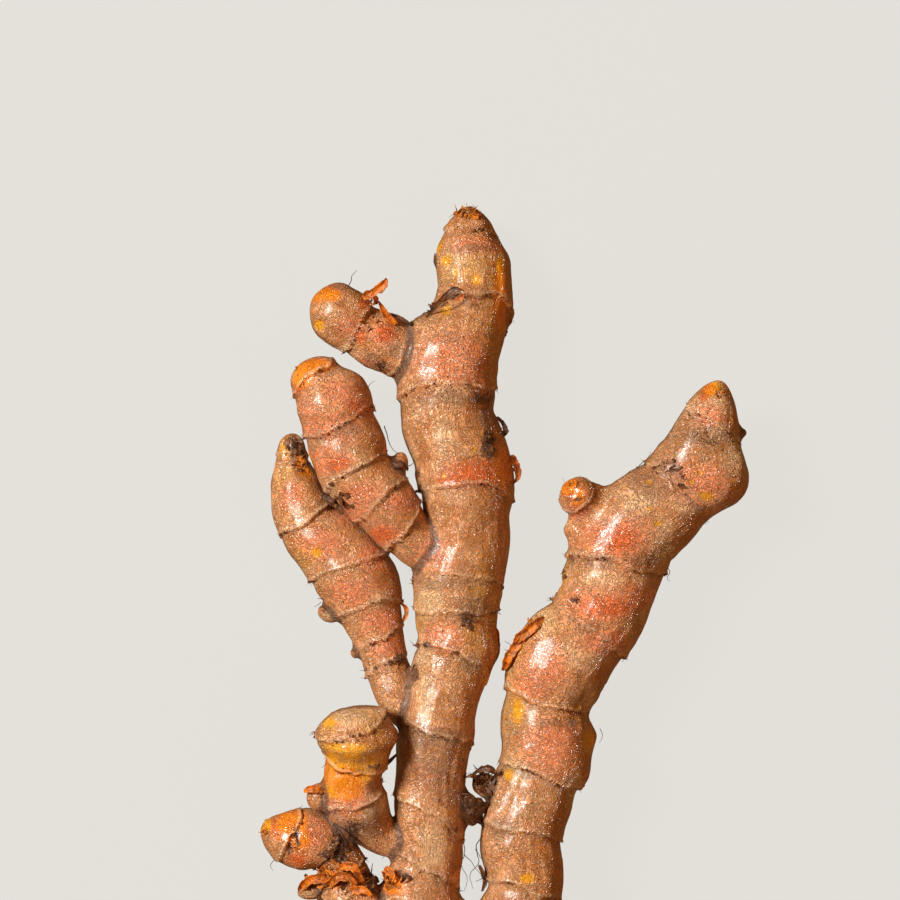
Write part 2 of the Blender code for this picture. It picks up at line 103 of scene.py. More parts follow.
# Each shoot: length of its rounded tip,
# stations from tip to base as (x, y, z, radius), and
# rings as (distance from the tip, lean to the side, lean to the front, height of the step).
SHOOTS = {
    "central_finger": (
        3.4,
        ((-5.9, 72.7, 6.0, 2.9), (-6.0, 68.9, 6.5, 4.3), (-6.1, 66.6, 6.8, 5.4),
         (-5.5, 62.0, 7.4, 6.3), (-5.1, 58.9, 7.7, 6.3), (-6.2, 53.5, 8.1, 6.8),
         (-9.3, 47.9, 8.3, 8.5), (-10.1, 43.6, 8.3, 8.5), (-9.8, 40.2, 8.4, 8.3),
         (-9.8, 37.0, 8.6, 8.0), (-7.5, 30.0, 9.0, 8.2), (-6.5, 22.0, 9.4, 7.7),
         (-6.5, 19.5, 9.5, 7.2), (-6.5, 15.6, 9.6, 7.2), (-8.0, 9.1, 9.8, 7.6), (-8.3, 0.9, 10.0, 6.8),
         (-8.0, -2.1, 10.1, 7.1), (-8.8, -4.3, 10.2, 6.5), (-10.8, -11.1, 10.6, 6.2),
         (-11.6, -15.6, 10.8, 6.3), (-12.8, -25.2, 11.2, 5.9), (-12.8, -29.8, 11.4, 6.1),
         (-13.3, -38.0, 11.7, 5.8), (-14.5, -44.8, 12.0, 7.1), (-13.7, -49.0, 12.3, 8.5),
         (-12.3, -53.3, 12.6, 9.5)),
        ((4.5, 0.7, 0.3, 0.8), (18.5, -0.8, -3.0, 1.7), (32.9, -0.4, -1.1, 1.0),
         (50.8, 1.4, -1.4, 1.0), (66.1, -0.3, -2.2, 0.9), (70.3, 0.0, 0.5, 0.5),
         (79.3, 1.7, -1.6, 1.1), (92.1, 0.9, -0.4, 0.9), (106.0, 3.4, -0.8, 0.8),
         (115.5, 1.9, -1.4, 1.0), (120.6, 0.3, -0.6, 0.8))),
    "knob": (
        4.1,
        ((-32.9, 56.9, 10.6, 3.9), (-30.5, 55.8, 10.4, 4.8), (-27.2, 53.8, 10.1, 5.2),
         (-24.7, 51.8, 9.9, 4.6), (-21.8, 50.2, 9.5, 5.0), (-18.4, 48.4, 9.1, 4.6),
         (-16.1, 47.0, 8.8, 4.8), (-13.0, 45.8, 8.5, 4.8)),
        ((9.4, -0.4, 0.3, 1.0), (17.4, -0.6, 0.4, 0.9))),
    "second_finger": (
        2.5,
        ((-33.4, 46.8, 12.4, 3.6), (-32.0, 43.4, 12.3, 4.6), (-29.5, 40.0, 12.2, 6.5),
         (-28.1, 35.6, 12.2, 6.1), (-26.8, 31.7, 12.2, 6.5), (-25.4, 28.0, 12.2, 6.1),
         (-21.8, 23.7, 12.1, 5.9), (-19.6, 21.0, 11.9, 5.4), (-17.9, 18.4, 11.6, 4.8),
         (-15.7, 16.2, 11.2, 4.1), (-10.3, 12.5, 10.0, 3.9)),
        ((3.1, -0.8, -0.1, 0.7), (12.5, -0.9, 0.0, 1.0), (20.6, -0.4, 0.2, 1.0), (26.9, 0.0, 0.2, 0.9),
         (33.2, -1.2, 0.2, 0.9))),
    "lower_finger": (
        1.7,
        ((-36.3, 34.2, 6.6, 1.7), (-36.5, 30.9, 6.6, 2.6), (-34.5, 21.2, 6.8, 5.3),
         (-33.2, 18.3, 6.9, 5.7), (-30.5, 15.6, 7.0, 6.4), (-25.4, 9.1, 7.2, 7.0),
         (-22.2, 1.4, 7.7, 4.8), (-20.1, -5.5, 8.5, 3.8), (-17.8, -10.8, 9.4, 3.8),
         (-13.0, -15.6, 10.4, 3.7)),
        ((3.7, 0.0, 0.2, 0.8), (15.1, -0.2, 0.0, 1.0), (25.4, 2.2, 0.0, 0.9), (33.6, 0.8, 0.0, 0.9),
         (39.5, -1.0, -0.4, 0.8), (44.1, -0.5, 0.0, 0.8))),
    "stub": (
        2.0,
        ((-25.9, -11.9, 17.6, 5.1), (-25.5, -15.0, 17.1, 6.3), (-24.8, -17.1, 16.8, 6.7),
         (-25.2, -18.8, 16.4, 5.9), (-25.2, -20.3, 16.0, 5.3), (-25.8, -23.9, 15.2, 4.8),
         (-25.2, -27.8, 14.2, 5.4), (-19.8, -34.4, 12.0, 3.1), (-17.1, -35.1, 11.8, 3.1)),
        ((2.8, -1.3, 0.9, 1.2), (9.0, 0.3, 1.3, 1.0), (14.2, -0.1, 1.8, 1.0))),
    "bulb": (
        3.8,
        ((-41.3, -32.2, 12.2, 2.7), (-38.8, -33.4, 12.1, 3.7), (-37.5, -33.9, 12.0, 4.5),
         (-34.3, -34.5, 11.8, 5.4), (-29.3, -36.5, 11.5, 4.2), (-28.1, -38.2, 11.5, 4.0),
         (-26.9, -42.8, 11.7, 4.8), (-23.9, -47.9, 12.2, 5.6), (-17.3, -52.4, 12.6, 6.1)),
        ((4.7, 1.0, 0.2, 0.8), (12.0, 0.0, 0.0, 1.0), (17.0, -0.6, 0.0, 1.0), (21.6, -0.8, 0.0, 1.0))),
    "right_finger": (
        3.4,
        ((36.5, 43.1, 11.2, 2.1), (34.3, 34.8, 10.3, 5.7), (33.6, 31.2, 9.9, 6.6),
         (31.7, 27.8, 9.5, 7.1), (29.2, 24.2, 9.1, 7.4), (21.7, 17.8, 8.5, 8.4), (17.9, 9.1, 8.4, 8.3),
         (16.7, 5.0, 8.4, 7.8), (14.2, 0.9, 8.4, 7.8), (10.6, -2.8, 8.4, 8.5), (8.7, -6.0, 8.4, 8.6),
         (7.9, -9.1, 8.4, 8.2), (7.1, -12.0, 8.5, 7.4), (7.1, -19.6, 8.8, 7.9), (6.7, -22.2, 8.9, 7.7),
         (5.5, -24.6, 9.0, 7.0), (4.3, -28.5, 9.3, 7.0), (2.5, -34.6, 9.8, 6.8),
         (3.3, -41.2, 10.4, 6.6), (3.1, -43.6, 10.7, 6.2), (-3.8, -54.1, 12.1, 7.1),
         (-7.2, -56.4, 12.5, 7.5)),
        ((7.3, 2.0, 0.0, 1.5), (20.7, 0.1, -1.5, 1.5), (36.9, -1.4, -0.2, 1.1), (49.0, -0.4, 0.0, 1.2),
         (63.7, 1.1, 0.4, 1.2), (76.7, -0.1, -0.5, 1.2), (87.3, 0.7, -1.2, 1.0), (96.0, 1.3, 0.0, 1.0))),
    "mother": (
        2.4,
        ((-8.6, -72.7, 12.2, 7.8), (-8.9, -71.1, 12.4, 8.8), (-9.3, -69.6, 12.6, 10.4),
         (-10.3, -63.2, 12.8, 13.2), (-11.0, -59.2, 12.9, 13.4), (-11.6, -55.3, 12.9, 12.9),
         (-12.3, -51.6, 12.9, 11.2), (-13.5, -46.2, 12.7, 5.8), (-13.7, -44.6, 12.6, 3.1)),
        ((3.5, 0.3, 0.0, 1.4), (8.7, -0.4, 0.4, 1.2), (14.2, 0.5, -0.3, 1.2), (20.0, 0.0, 0.0, 1.0))),
    "right_elbow": (
        2.6,
        ((41.0, 24.5, 11.2, 3.3), (37.9, 25.7, 10.8, 5.7), (34.8, 27.4, 10.1, 6.9), (31.6, 29.2, 9.6, 6.4)),
        ()),
    "right_knee": (
        1.4,
        ((38.5, 32.6, 11.2, 1.8), (37.5, 30.2, 11.9, 3.5), (36.4, 26.4, 12.0, 4.4), (32.6, 23.6, 11.0, 3.8)),
        ()),
    "shoulder_bud": (
        1.5,
        ((10.9, 24.7, 15.0, 2.3), (11.6, 24.1, 13.5, 2.9), (12.8, 22.9, 11.5, 3.5),
         (18.4, 20.7, 9.1, 4.2)),
        ((2.6, 0.0, 0.0, 0.7),)),
    "second_finger_bud": (
        1.2,
        ((-17.3, 30.9, 12.2, 1.0), (-18.7, 28.2, 12.2, 2.1), (-20.8, 25.6, 12.2, 2.8)),
        ()),
    "central_bud": (
        1.4,
        ((-4.6, -28.4, 11.0, 1.5), (-5.9, -29.0, 11.1, 2.6), (-9.3, -30.0, 11.3, 3.5)),
        ()),
    "curled_bud": (
        1.4,
        ((-5.4, -24.4, 10.3, 1.5), (-3.8, -25.4, 10.2, 2.0), (-2.1, -26.8, 9.9, 2.0),
         (0.9, -28.1, 9.6, 2.0)),
        ()),
    "stub_nub": (
        1.0,
        ((-33.6, -27.6, 14.6, 1.5), (-31.8, -27.2, 14.6, 2.3), (-28.6, -27.1, 14.5, 2.9)),
        ()),
    "tip_nub": (
        0.9,
        ((41.1, 34.3, 10.0, 0.9), (39.7, 34.1, 10.0, 1.2), (36.6, 33.4, 10.3, 1.5)),
        ()),
    "lower_finger_nub": (
        0.9,
        ((-32.0, 3.3, 7.4, 1.0), (-30.4, 3.6, 7.4, 1.8), (-27.5, 4.8, 7.4, 2.6)),
        ()),
    "lower_finger_scar": (
        0.7,
        ((-26.4, -3.5, 7.8, 0.9), (-25.2, -3.1, 7.8, 1.2), (-22.5, -2.3, 7.9, 1.4)),
        ()),
    "bulb_leaf_base": (
        1.4,
        ((-35.3, -44.1, 10.5, 1.0), (-31.4, -42.9, 10.9, 2.0), (-28.0, -42.8, 11.3, 2.4)),
        ()),
    "shoulder_fold": (
        2.0,
        ((9.9, 17.9, 9.6, 2.2), (12.0, 17.8, 9.5, 2.9), (15.9, 17.1, 9.2, 3.4)),
        ()),
    "side_swelling": (
        1.7,
        ((15.9, -17.3, 8.8, 2.2), (14.2, -17.3, 8.8, 2.7), (9.9, -17.9, 8.8, 3.1)),
        ()),
}


def smooth(share):
    share = np.clip(share, 0.0, 1.0)
    return share * share * (3.0 - 2.0 * share)


def grain_at(points):
    """Gradient noise, about -1 to 1, at every point of an array."""
    flat = [noise.noise(Vector(point)) for point in points.reshape(-1, 3)]
    return np.array(flat).reshape(points.shape[:-1])


def distances_of(stations):
    steps = np.linalg.norm(np.diff(stations[:, :3], axis=0), axis=1)
    return np.concatenate([[0.0], np.cumsum(steps)])


def along(stations, distance):
    """(x, y, z, radius) at each distance from the tip: a smooth curve through the stations."""
    knots = distances_of(stations)
    gap = np.diff(knots)[:, None]
    rise = np.diff(stations, axis=0) / gap
    slope = np.empty_like(stations)
    slope[0], slope[-1] = rise[0], rise[-1]
    slope[1:-1] = (rise[:-1] * gap[1:] + rise[1:] * gap[:-1]) / (gap[1:] + gap[:-1])
    # The radius takes the harmonic mean instead, so that it never overshoots a station.
    before, after = rise[:-1, 3], rise[1:, 3]
    total = np.where(before * after > 0.0, before + after, 1.0)
    slope[1:-1, 3] = np.where(before * after > 0.0, 2.0 * before * after / total, 0.0)
    i = np.clip(np.searchsorted(knots, distance, side="right") - 1, 0, len(gap) - 1)
    t = ((distance - knots[i]) / gap[i, 0])[..., None]
    return (
        (2 * t**3 - 3 * t**2 + 1) * stations[i]
        + (t**3 - 2 * t**2 + t) * gap[i] * slope[i]
        + (3 * t**2 - 2 * t**3) * stations[i + 1]
        + (t**3 - t**2) * gap[i] * slope[i + 1]
    )


def sections_at(stations, distance):
    """Centre, radius and the sideways, upward and rootward directions of each cross-section."""
    here = along(stations, distance)
    length = distances_of(stations)[-1]
    ahead = along(stations, np.minimum(distance + SLOPE_REACH, length))
    behind = along(stations, np.maximum(distance - SLOPE_REACH, 0.0))
    rootward = ahead[..., :3] - behind[..., :3]
    rootward /= np.linalg.norm(rootward, axis=-1, keepdims=True)
    upward = np.array([0.0, 0.0, 1.0]) - rootward * rootward[..., 2:]
    upward /= np.linalg.norm(upward, axis=-1, keepdims=True)
    return here[..., :3], here[..., 3], np.cross(upward, rootward), upward, rootward


def on_circle(angles, size, seed):
    """Points on a circle for noise that closes up round a shoot. Size is the circle's radius."""
    height = np.full_like(angles, seed * RINGS_APART)
    return np.stack([np.cos(angles) * size, np.sin(angles) * size, height], axis=-1)


def ring_lines(rings, length, girth, angles):
    """Where each internode starts and ends, as a distance from the tip for every angle."""
    lines = [np.zeros_like(angles)]
    for number, (distance, sideways, frontal, _) in enumerate(rings):
        wave = RING_WAVE * np.sin(RING_WAVES * angles + RING_TURN * number)
        torn = np.zeros_like(angles)
        for width, weight, seed in TEARS:
            torn += weight * grain_at(on_circle(angles, girth / width, number + girth + seed))
        lean = sideways * np.cos(angles) + frontal * np.sin(angles)
        lines.append(distance + lean + wave + RAGGED * torn)
    lines.append(np.full_like(angles, length))
    return lines


def rows_of(lines, steps, cap, girth, angles):
    """Rows of the skin: distance from the tip, relief, and distance to the rims on either side."""
    rows = []
    # How well each ring's edge stands up at each angle: torn off in places
    circles = [on_circle(angles, girth / KEPT_STRETCH, girth + ring) for ring in range(len(lines))]
    kept = [smooth(KEPT_MEAN + KEPT_SWING * grain_at(circle)) for circle in circles]
    for number in range(len(lines) - 1):
        first, last = lines[number], lines[number + 1]
        span = float(np.mean(last - first))
        if number == 0:
            turns = np.linspace(0.0, 0.5 * np.pi, max(5, round(1.6 * cap / ROW_HEIGHT)) + 1)[1:]
            shares = list(cap * (1.0 - np.cos(turns)) / span)
            start = cap / span
        else:
            start = LEDGE_RUN / span
            shares = [start, start + LEDGE_FOOT / span]
            start += LEDGE_FOOT / span
        count = max(3, round((span * (1.0 - start) - RIM_FACES[0]) / ROW_HEIGHT))
        shares += list(np.linspace(start, 1.0 - RIM_FACES[0] / span, count + 1)[1:])
        shares += [1.0 - RIM_FACES[1] / span, 1.0]
        for share in shares:
            distance = first * (1.0 - share) + last * share
            above, below = last - distance, distance - first
            rim = steps[number + 1] * RIM_RISE * smooth((share - 1.0 + RIM_SHARE) / RIM_SHARE)
            rim = rim * (RIM_TORN + (1.0 - RIM_TORN) * kept[number + 1])
            lip = steps[number + 1] * LIP_HEIGHT * smooth(1.0 - above / LIP_WIDTH) * kept[number + 1]
            neck = steps[number] * NECK_DROP * (1.0 - smooth(share / NECK_SHARE))
            neck = neck * (NECK_TORN + (1.0 - NECK_TORN) * kept[number])
            if number == 0:
                below = below + FAR
            if number == len(lines) - 2:
                above = above + FAR
            rows.append((distance, rim + lip - neck, above, below, np.full_like(angles, number)))
    return [np.array(column) for column in zip(*rows)]


def skin_relief(distance, angles, girth, seed, shares):
    """Lumps, dimples, folds, creases and weave of the skin, in millimetres."""
    total = np.zeros_like(distance)
    for number, (width, run, height) in enumerate((LUMPS, DIMPLES, FOLDS, CREASES, WEAVE)):
        turn = on_circle(np.broadcast_to(angles, distance.shape), girth / width, 0.0)
        turn[..., 2] = distance / run + seed * SHOOTS_APART + number * RELIEFS_APART
        grain = grain_at(turn)
        if number in (2, 3):
            grain = RIDGE_TOP - RIDGE_FALL * np.abs(grain)
        total += height * grain * shares[number]
    return total


rims = []   # every ring's edge, kept for the papery fringe: points and rootward directions


def make_shoot(number, name, cap, stations, rings):
    """One closed, ringed tube with the distances to its rings kept at every face corner."""
    stations = np.array(stations)
    length = distances_of(stations)[-1]
    girth = float(np.mean(stations[:, 3]))
    sides = max(FEWEST_COLUMNS, round(2.0 * np.pi * girth / COLUMN_WIDTH))
    turns = np.arange(sides) * 2.0 * np.pi / sides
    angles = turns + TOP_CROWDING * np.cos(turns)
    lines = ring_lines(rings, length, girth, angles)
    steps = [0.0] + [ring[3] for ring in rings] + [0.0]
    distance, relief, above, below, internode = rows_of(lines, steps, cap, girth, angles)
    centre, radius, sideways, upward, rootward = sections_at(stations, distance)
    outward = sideways * np.cos(angles)[:, None] + upward * np.sin(angles)[:, None]
    flank = np.abs(np.cos(angles)) * np.ones_like(distance)
    wrinkled = smooth(1.0 - above / WRINKLE_REACH)
    felted = smooth(1.0 - below / FELT_REACH)
    # Folds are deeper on the flanks, creases up to a rim, and the weave in the felt past it
    shares = (1.0, 1.0, 0.45 + 0.9 * flank, 0.35 + 1.2 * wrinkled, 0.5 + 0.8 * felted)
    fine = skin_relief(distance, angles, girth, number, shares)
    dome = np.sqrt(1.0 - np.clip(1.0 - distance / cap, 0.0, 1.0) ** 2)
    depth = (TIP_RELIEF + (1.0 - TIP_RELIEF) * dome) * min(1.0, girth / FULL_GIRTH)
    radius = radius * dome + relief + fine * depth
    points = centre + outward * radius[..., None]
    for edge in np.flatnonzero(np.diff(internode[:, 0])):
        rims.append((points[edge], rootward[edge]))
    count = len(points)
    ends = along(stations, np.array([0.0, length]))[:, :3]
    corners = np.concatenate([points.reshape(-1, 3), ends])
    here = np.arange(count * sides).reshape(count, sides)
    after = np.roll(here, -1, axis=1)
    walls = np.stack([here[:-1], after[:-1], after[1:], here[1:]], axis=-1).reshape(-1, 4)
    tip = [(a, b, count * sides) for a, b in zip(after[0], here[0])]
    base = [(a, b, count * sides + 1) for a, b in zip(here[-1], after[-1])]
    mesh = bpy.data.meshes.new(name)
    mesh.from_pydata(corners, [], walls.tolist() + tip + base)
    loops = np.empty(len(mesh.loops), np.int32)
    mesh.loops.foreach_get("vertex_index", loops)
    for field, grid in (("above", above), ("below", below)):
        values = np.concatenate([grid.ravel(), (FAR, FAR)])[loops]
        keep(mesh, field, values, "CORNER")
    owner = mesh.attributes.new("shoot", "INT", "FACE")
    owner.data.foreach_set("value", np.full(len(mesh.polygons), number, np.int32))
    unroll(mesh, distance, angles * girth, length, sides, walls, girth)
    return add_object(name, mesh)


def keep(mesh, name, values, where="POINT"):
    """Keeps a number for every vertex, or for every face corner, under a name."""
    mesh.attributes.new(name, "FLOAT", where).data.foreach_set("value", values.astype(np.float32))


def add_object(name, data):
    obj = bpy.data.objects.new(name, data)
    bpy.context.scene.collection.objects.link(obj)
    return obj


def unroll(mesh, distance, arc, length, sides, walls, girth):
    """The skin laid flat, in centimetres: across is the way round the shoot, up is the way along."""
    around = np.broadcast_to(arc, distance.shape)
    flat = np.stack([around, distance], axis=-1).reshape(-1, 2)
    corners = flat[walls.ravel()].reshape(-1, sides, 4, 2)
    # The last face of each row ends a whole turn further on than the first one starts.
    corners[:, -1, 1:3, 0] += 2.0 * np.pi * girth
    tip = np.zeros((sides * 3, 2))
    base = np.full((sides * 3, 2), (0.0, length))
    every = np.concatenate([corners.reshape(-1, 2), tip, base]) / MM_PER_CM
    mesh.uv_layers.new(name="skin").data.foreach_set("uv", every.ravel().astype(np.float32))


def grown_together(name, shoots):
    """Joins the tubes into one closed skin."""
    body, *others = shoots
    for shoot in others:
        bpy.context.scene.collection.objects.unlink(shoot)
    group = bpy.data.collections.new("shoots")
    for shoot in others:
        group.objects.link(shoot)
    modifier = body.modifiers.new("union", "BOOLEAN")
    modifier.solver = "MANIFOLD"
    modifier.operation = "UNION"
    modifier.operand_type = "COLLECTION"
    modifier.collection = group
    graph = bpy.context.evaluated_depsgraph_get()
    mesh = bpy.data.meshes.new_from_object(body.evaluated_get(graph))
    for shoot in shoots:
        bpy.data.objects.remove(shoot, do_unlink=True)
    bpy.data.collections.remove(group)
    mesh.name = name
    return add_object(name, mesh)


def read(data, field, width=1, kind=np.float32):
    values = np.empty(len(data) * width, kind)
    data.foreach_get(field, values)
    return values.reshape(-1, width) if width > 1 else values


def seam_distance(mesh, points, reaches):
    """How far each vertex is from the nearest line where two shoots meet.

    The first answer is in fillet reaches and counts every joint. The second is in millimetres and
    leaves out the soft joints, which get no painted shade.
    """
    owner = read(mesh.attributes["shoot"].data, "value", kind=np.int32)
    counts = read(mesh.polygons, "loop_total", kind=np.int32)
    edges = read(mesh.loops, "edge_index", kind=np.int32)
    owners = np.repeat(owner, counts)
    highest = np.full(len(mesh.edges), -1)
    lowest = np.full(len(mesh.edges), 10**6)
    np.maximum.at(highest, edges, owners)
    np.minimum.at(lowest, edges, owners)
    ends = read(mesh.edges, "vertices", 2, np.int32)[highest != lowest]
    reach = np.repeat(reaches[highest[highest != lowest]], 2)
    on_seam, first = np.unique(ends, return_index=True)
    reach = reach[first]
    share, gap = np.full((2, len(points)), np.inf)
    for size in np.unique(reach):
        tree = kdtree.KDTree(int(np.sum(reach == size)))
        for index in on_seam[reach == size]:
            tree.insert(points[index], index)
        tree.balance()
        distance = np.array([tree.find(point)[2] for point in points])
        share = np.minimum(share, distance / size)
        if size == SEAM_REACH:
            gap = np.minimum(gap, distance)
    return share, gap


def relax(points, edges, share, times):
    """Eases each vertex that has a share towards the middle of its neighbours, by that share."""
    moving = share > LEAST_EASE
    near = edges[moving[edges].any(axis=1)]
    used, flat = np.unique(near, return_inverse=True)
    near = flat.reshape(-1, 2)
    here, ease = points[used], (share * moving)[used][:, None]
    ends, others = near.ravel(), near[:, ::-1].ravel()
    count = np.bincount(ends, minlength=len(used))[:, None]
    for _ in range(times):
        total = [np.bincount(ends, here[others, axis], len(used)) for axis in range(3)]
        here = here + ease * (np.stack(total, axis=1) / count - here)
    eased = points.copy()
    eased[used] = here
    return eased


def drawn_over(points, edges, inside, times):
    """Fills the hollows in a region as a taut skin would: vertices rise to their neighbours' mean."""
    near = edges[inside[edges].any(axis=1)]
    used, flat = np.unique(near, return_inverse=True)
    near = flat.reshape(-1, 2)
    ends, others = near.ravel(), near[:, ::-1].ravel()
    count = np.bincount(ends, minlength=len(used))
    height, moving = points[used, 2], inside[used]
    for _ in range(times):
        mean = np.bincount(ends, height[others], len(used)) / count
        height = np.where(moving, np.maximum(height, mean), height)
    filled = points.copy()
    rise = height - points[used, 2]
    filled[used, 2] += rise * smooth(rise / TAUT_RISE)
    return filled


def pressed(points, normals, spots):
    """Sinks or raises the upper side round each spot."""
    for x, y, across, lengthwise, height in spots:
        gap = np.hypot((points[:, 0] - x) / across, (points[:, 1] - y) / lengthwise)
        points = points + normals * (height * np.exp(-(gap**2)) * (normals[:, 2] > 0.0))[:, None]
    return points


SEAM_REACH = 1.1     # how far the fillet reaches from a line where two shoots meet
SOFT_REACH = {           # the same where the joint is soft
    "right_elbow": 4.0, "right_knee": 3.0, "side_swelling": 3.5, "shoulder_fold": 2.5, "shoulder_bud": 1.6,
}
SEAM_EASE = 0.6
SEAM_TURNS = 60
LEAST_EASE = 0.001   # a vertex with a smaller share stays where it is
JOINT_SHADE_REACH = 2.2  # how far the painted shade reaches from a joint

# The bent end of the right finger, where its three swellings share one skin: middle and reach
BEND = (36.0, 27.5, 8.5, 9.0)
BEND_TURNS = 400
BEND_FACING = 0.05   # least upward slope of the skin there that is drawn over
TAUT_RISE = 0.4      # a hollow this deep is filled all the way

# Hollows, pits and swellings of the upper side: x, y, reach across, reach along, height
SPOTS = (
    (-10.3, 56.0, 2.4, 0.9, -1.3), (-12.4, 53.9, 1.5, 0.9, -0.9), (-8.6, 58.2, 2.6, 0.8, 0.55),
    (-5.2, 34.6, 9.0, 0.8, -0.15), (11.9, 5.0, 1.0, 1.3, -1.0), (10.6, 7.2, 1.6, 0.9, 0.5),
    (-31.4, 52.9, 0.7, 0.7, -0.45), (-21.0, 45.6, 0.6, 0.6, -0.5), (-21.0, 45.6, 1.2, 1.2, 0.3),
    (-34.0, 27.9, 1.3, 1.0, -0.6), (35.9, 40.6, 0.5, 0.5, -0.5), (35.9, 40.6, 1.0, 1.0, 0.3),
    (12.1, 25.4, 0.6, 0.6, 0.5), (10.7, 24.7, 1.1, 1.1, -0.35), (12.3, 25.5, 0.25, 0.25, -0.3),
    (30.3, 24.5, 3.0, 0.6, -0.3), (28.3, 27.6, 2.2, 1.0, -0.25), (8.8, -9.0, 0.7, 0.7, -0.2),
    (-6.2, 29.7, 0.35, 0.35, -0.3), (-3.3, 31.6, 0.8, 1.9, 0.25), (-25.6, -16.0, 4.5, 0.4, -0.35),
    (-27.0, -12.9, 3.0, 1.0, 0.3), (-23.2, -20.6, 3.2, 0.5, -0.3), (-25.8, -22.6, 3.0, 0.4, -0.25),
    (-36.0, -35.0, 0.6, 3.2, -0.4), (-30.8, -26.6, 0.5, 1.4, -0.5), (13.8, -18.0, 0.9, 1.5, -0.4),
    (-29.4, 37.3, 4.2, 1.0, 0.3), (-31.0, 33.0, 3.0, 0.8, -0.25), (-26.6, -29.4, 3.0, 0.5, -0.25),
    (-5.9, 71.3, 1.4, 0.9, 0.4), (-3.0, 71.5, 0.9, 0.7, -0.3), (-8.2, 70.9, 0.8, 0.6, -0.3),
)

shoots = [make_shoot(number, name, *shape) for number, (name, shape) in enumerate(SHOOTS.items())]
rhizome = grown_together("turmeric_skin", shoots)
points = read(rhizome.data.vertices, "co", 3)
edges = read(rhizome.data.edges, "vertices", 2, np.int32)
reaches = np.array([SOFT_REACH.get(name, SEAM_REACH) for name in SHOOTS])
seam_share, seam = seam_distance(rhizome.data, points, reaches)
normals = read(rhizome.data.vertices, "normal", 3)
points = relax(points, edges, SEAM_EASE * smooth(1.0 - seam_share), SEAM_TURNS)
bend = np.hypot((points[:, 0] - BEND[0]) / BEND[2], (points[:, 1] - BEND[1]) / BEND[3]) < 1.0
points = drawn_over(points, edges, bend & (normals[:, 2] > BEND_FACING), BEND_TURNS)
points = pressed(points, normals, SPOTS)
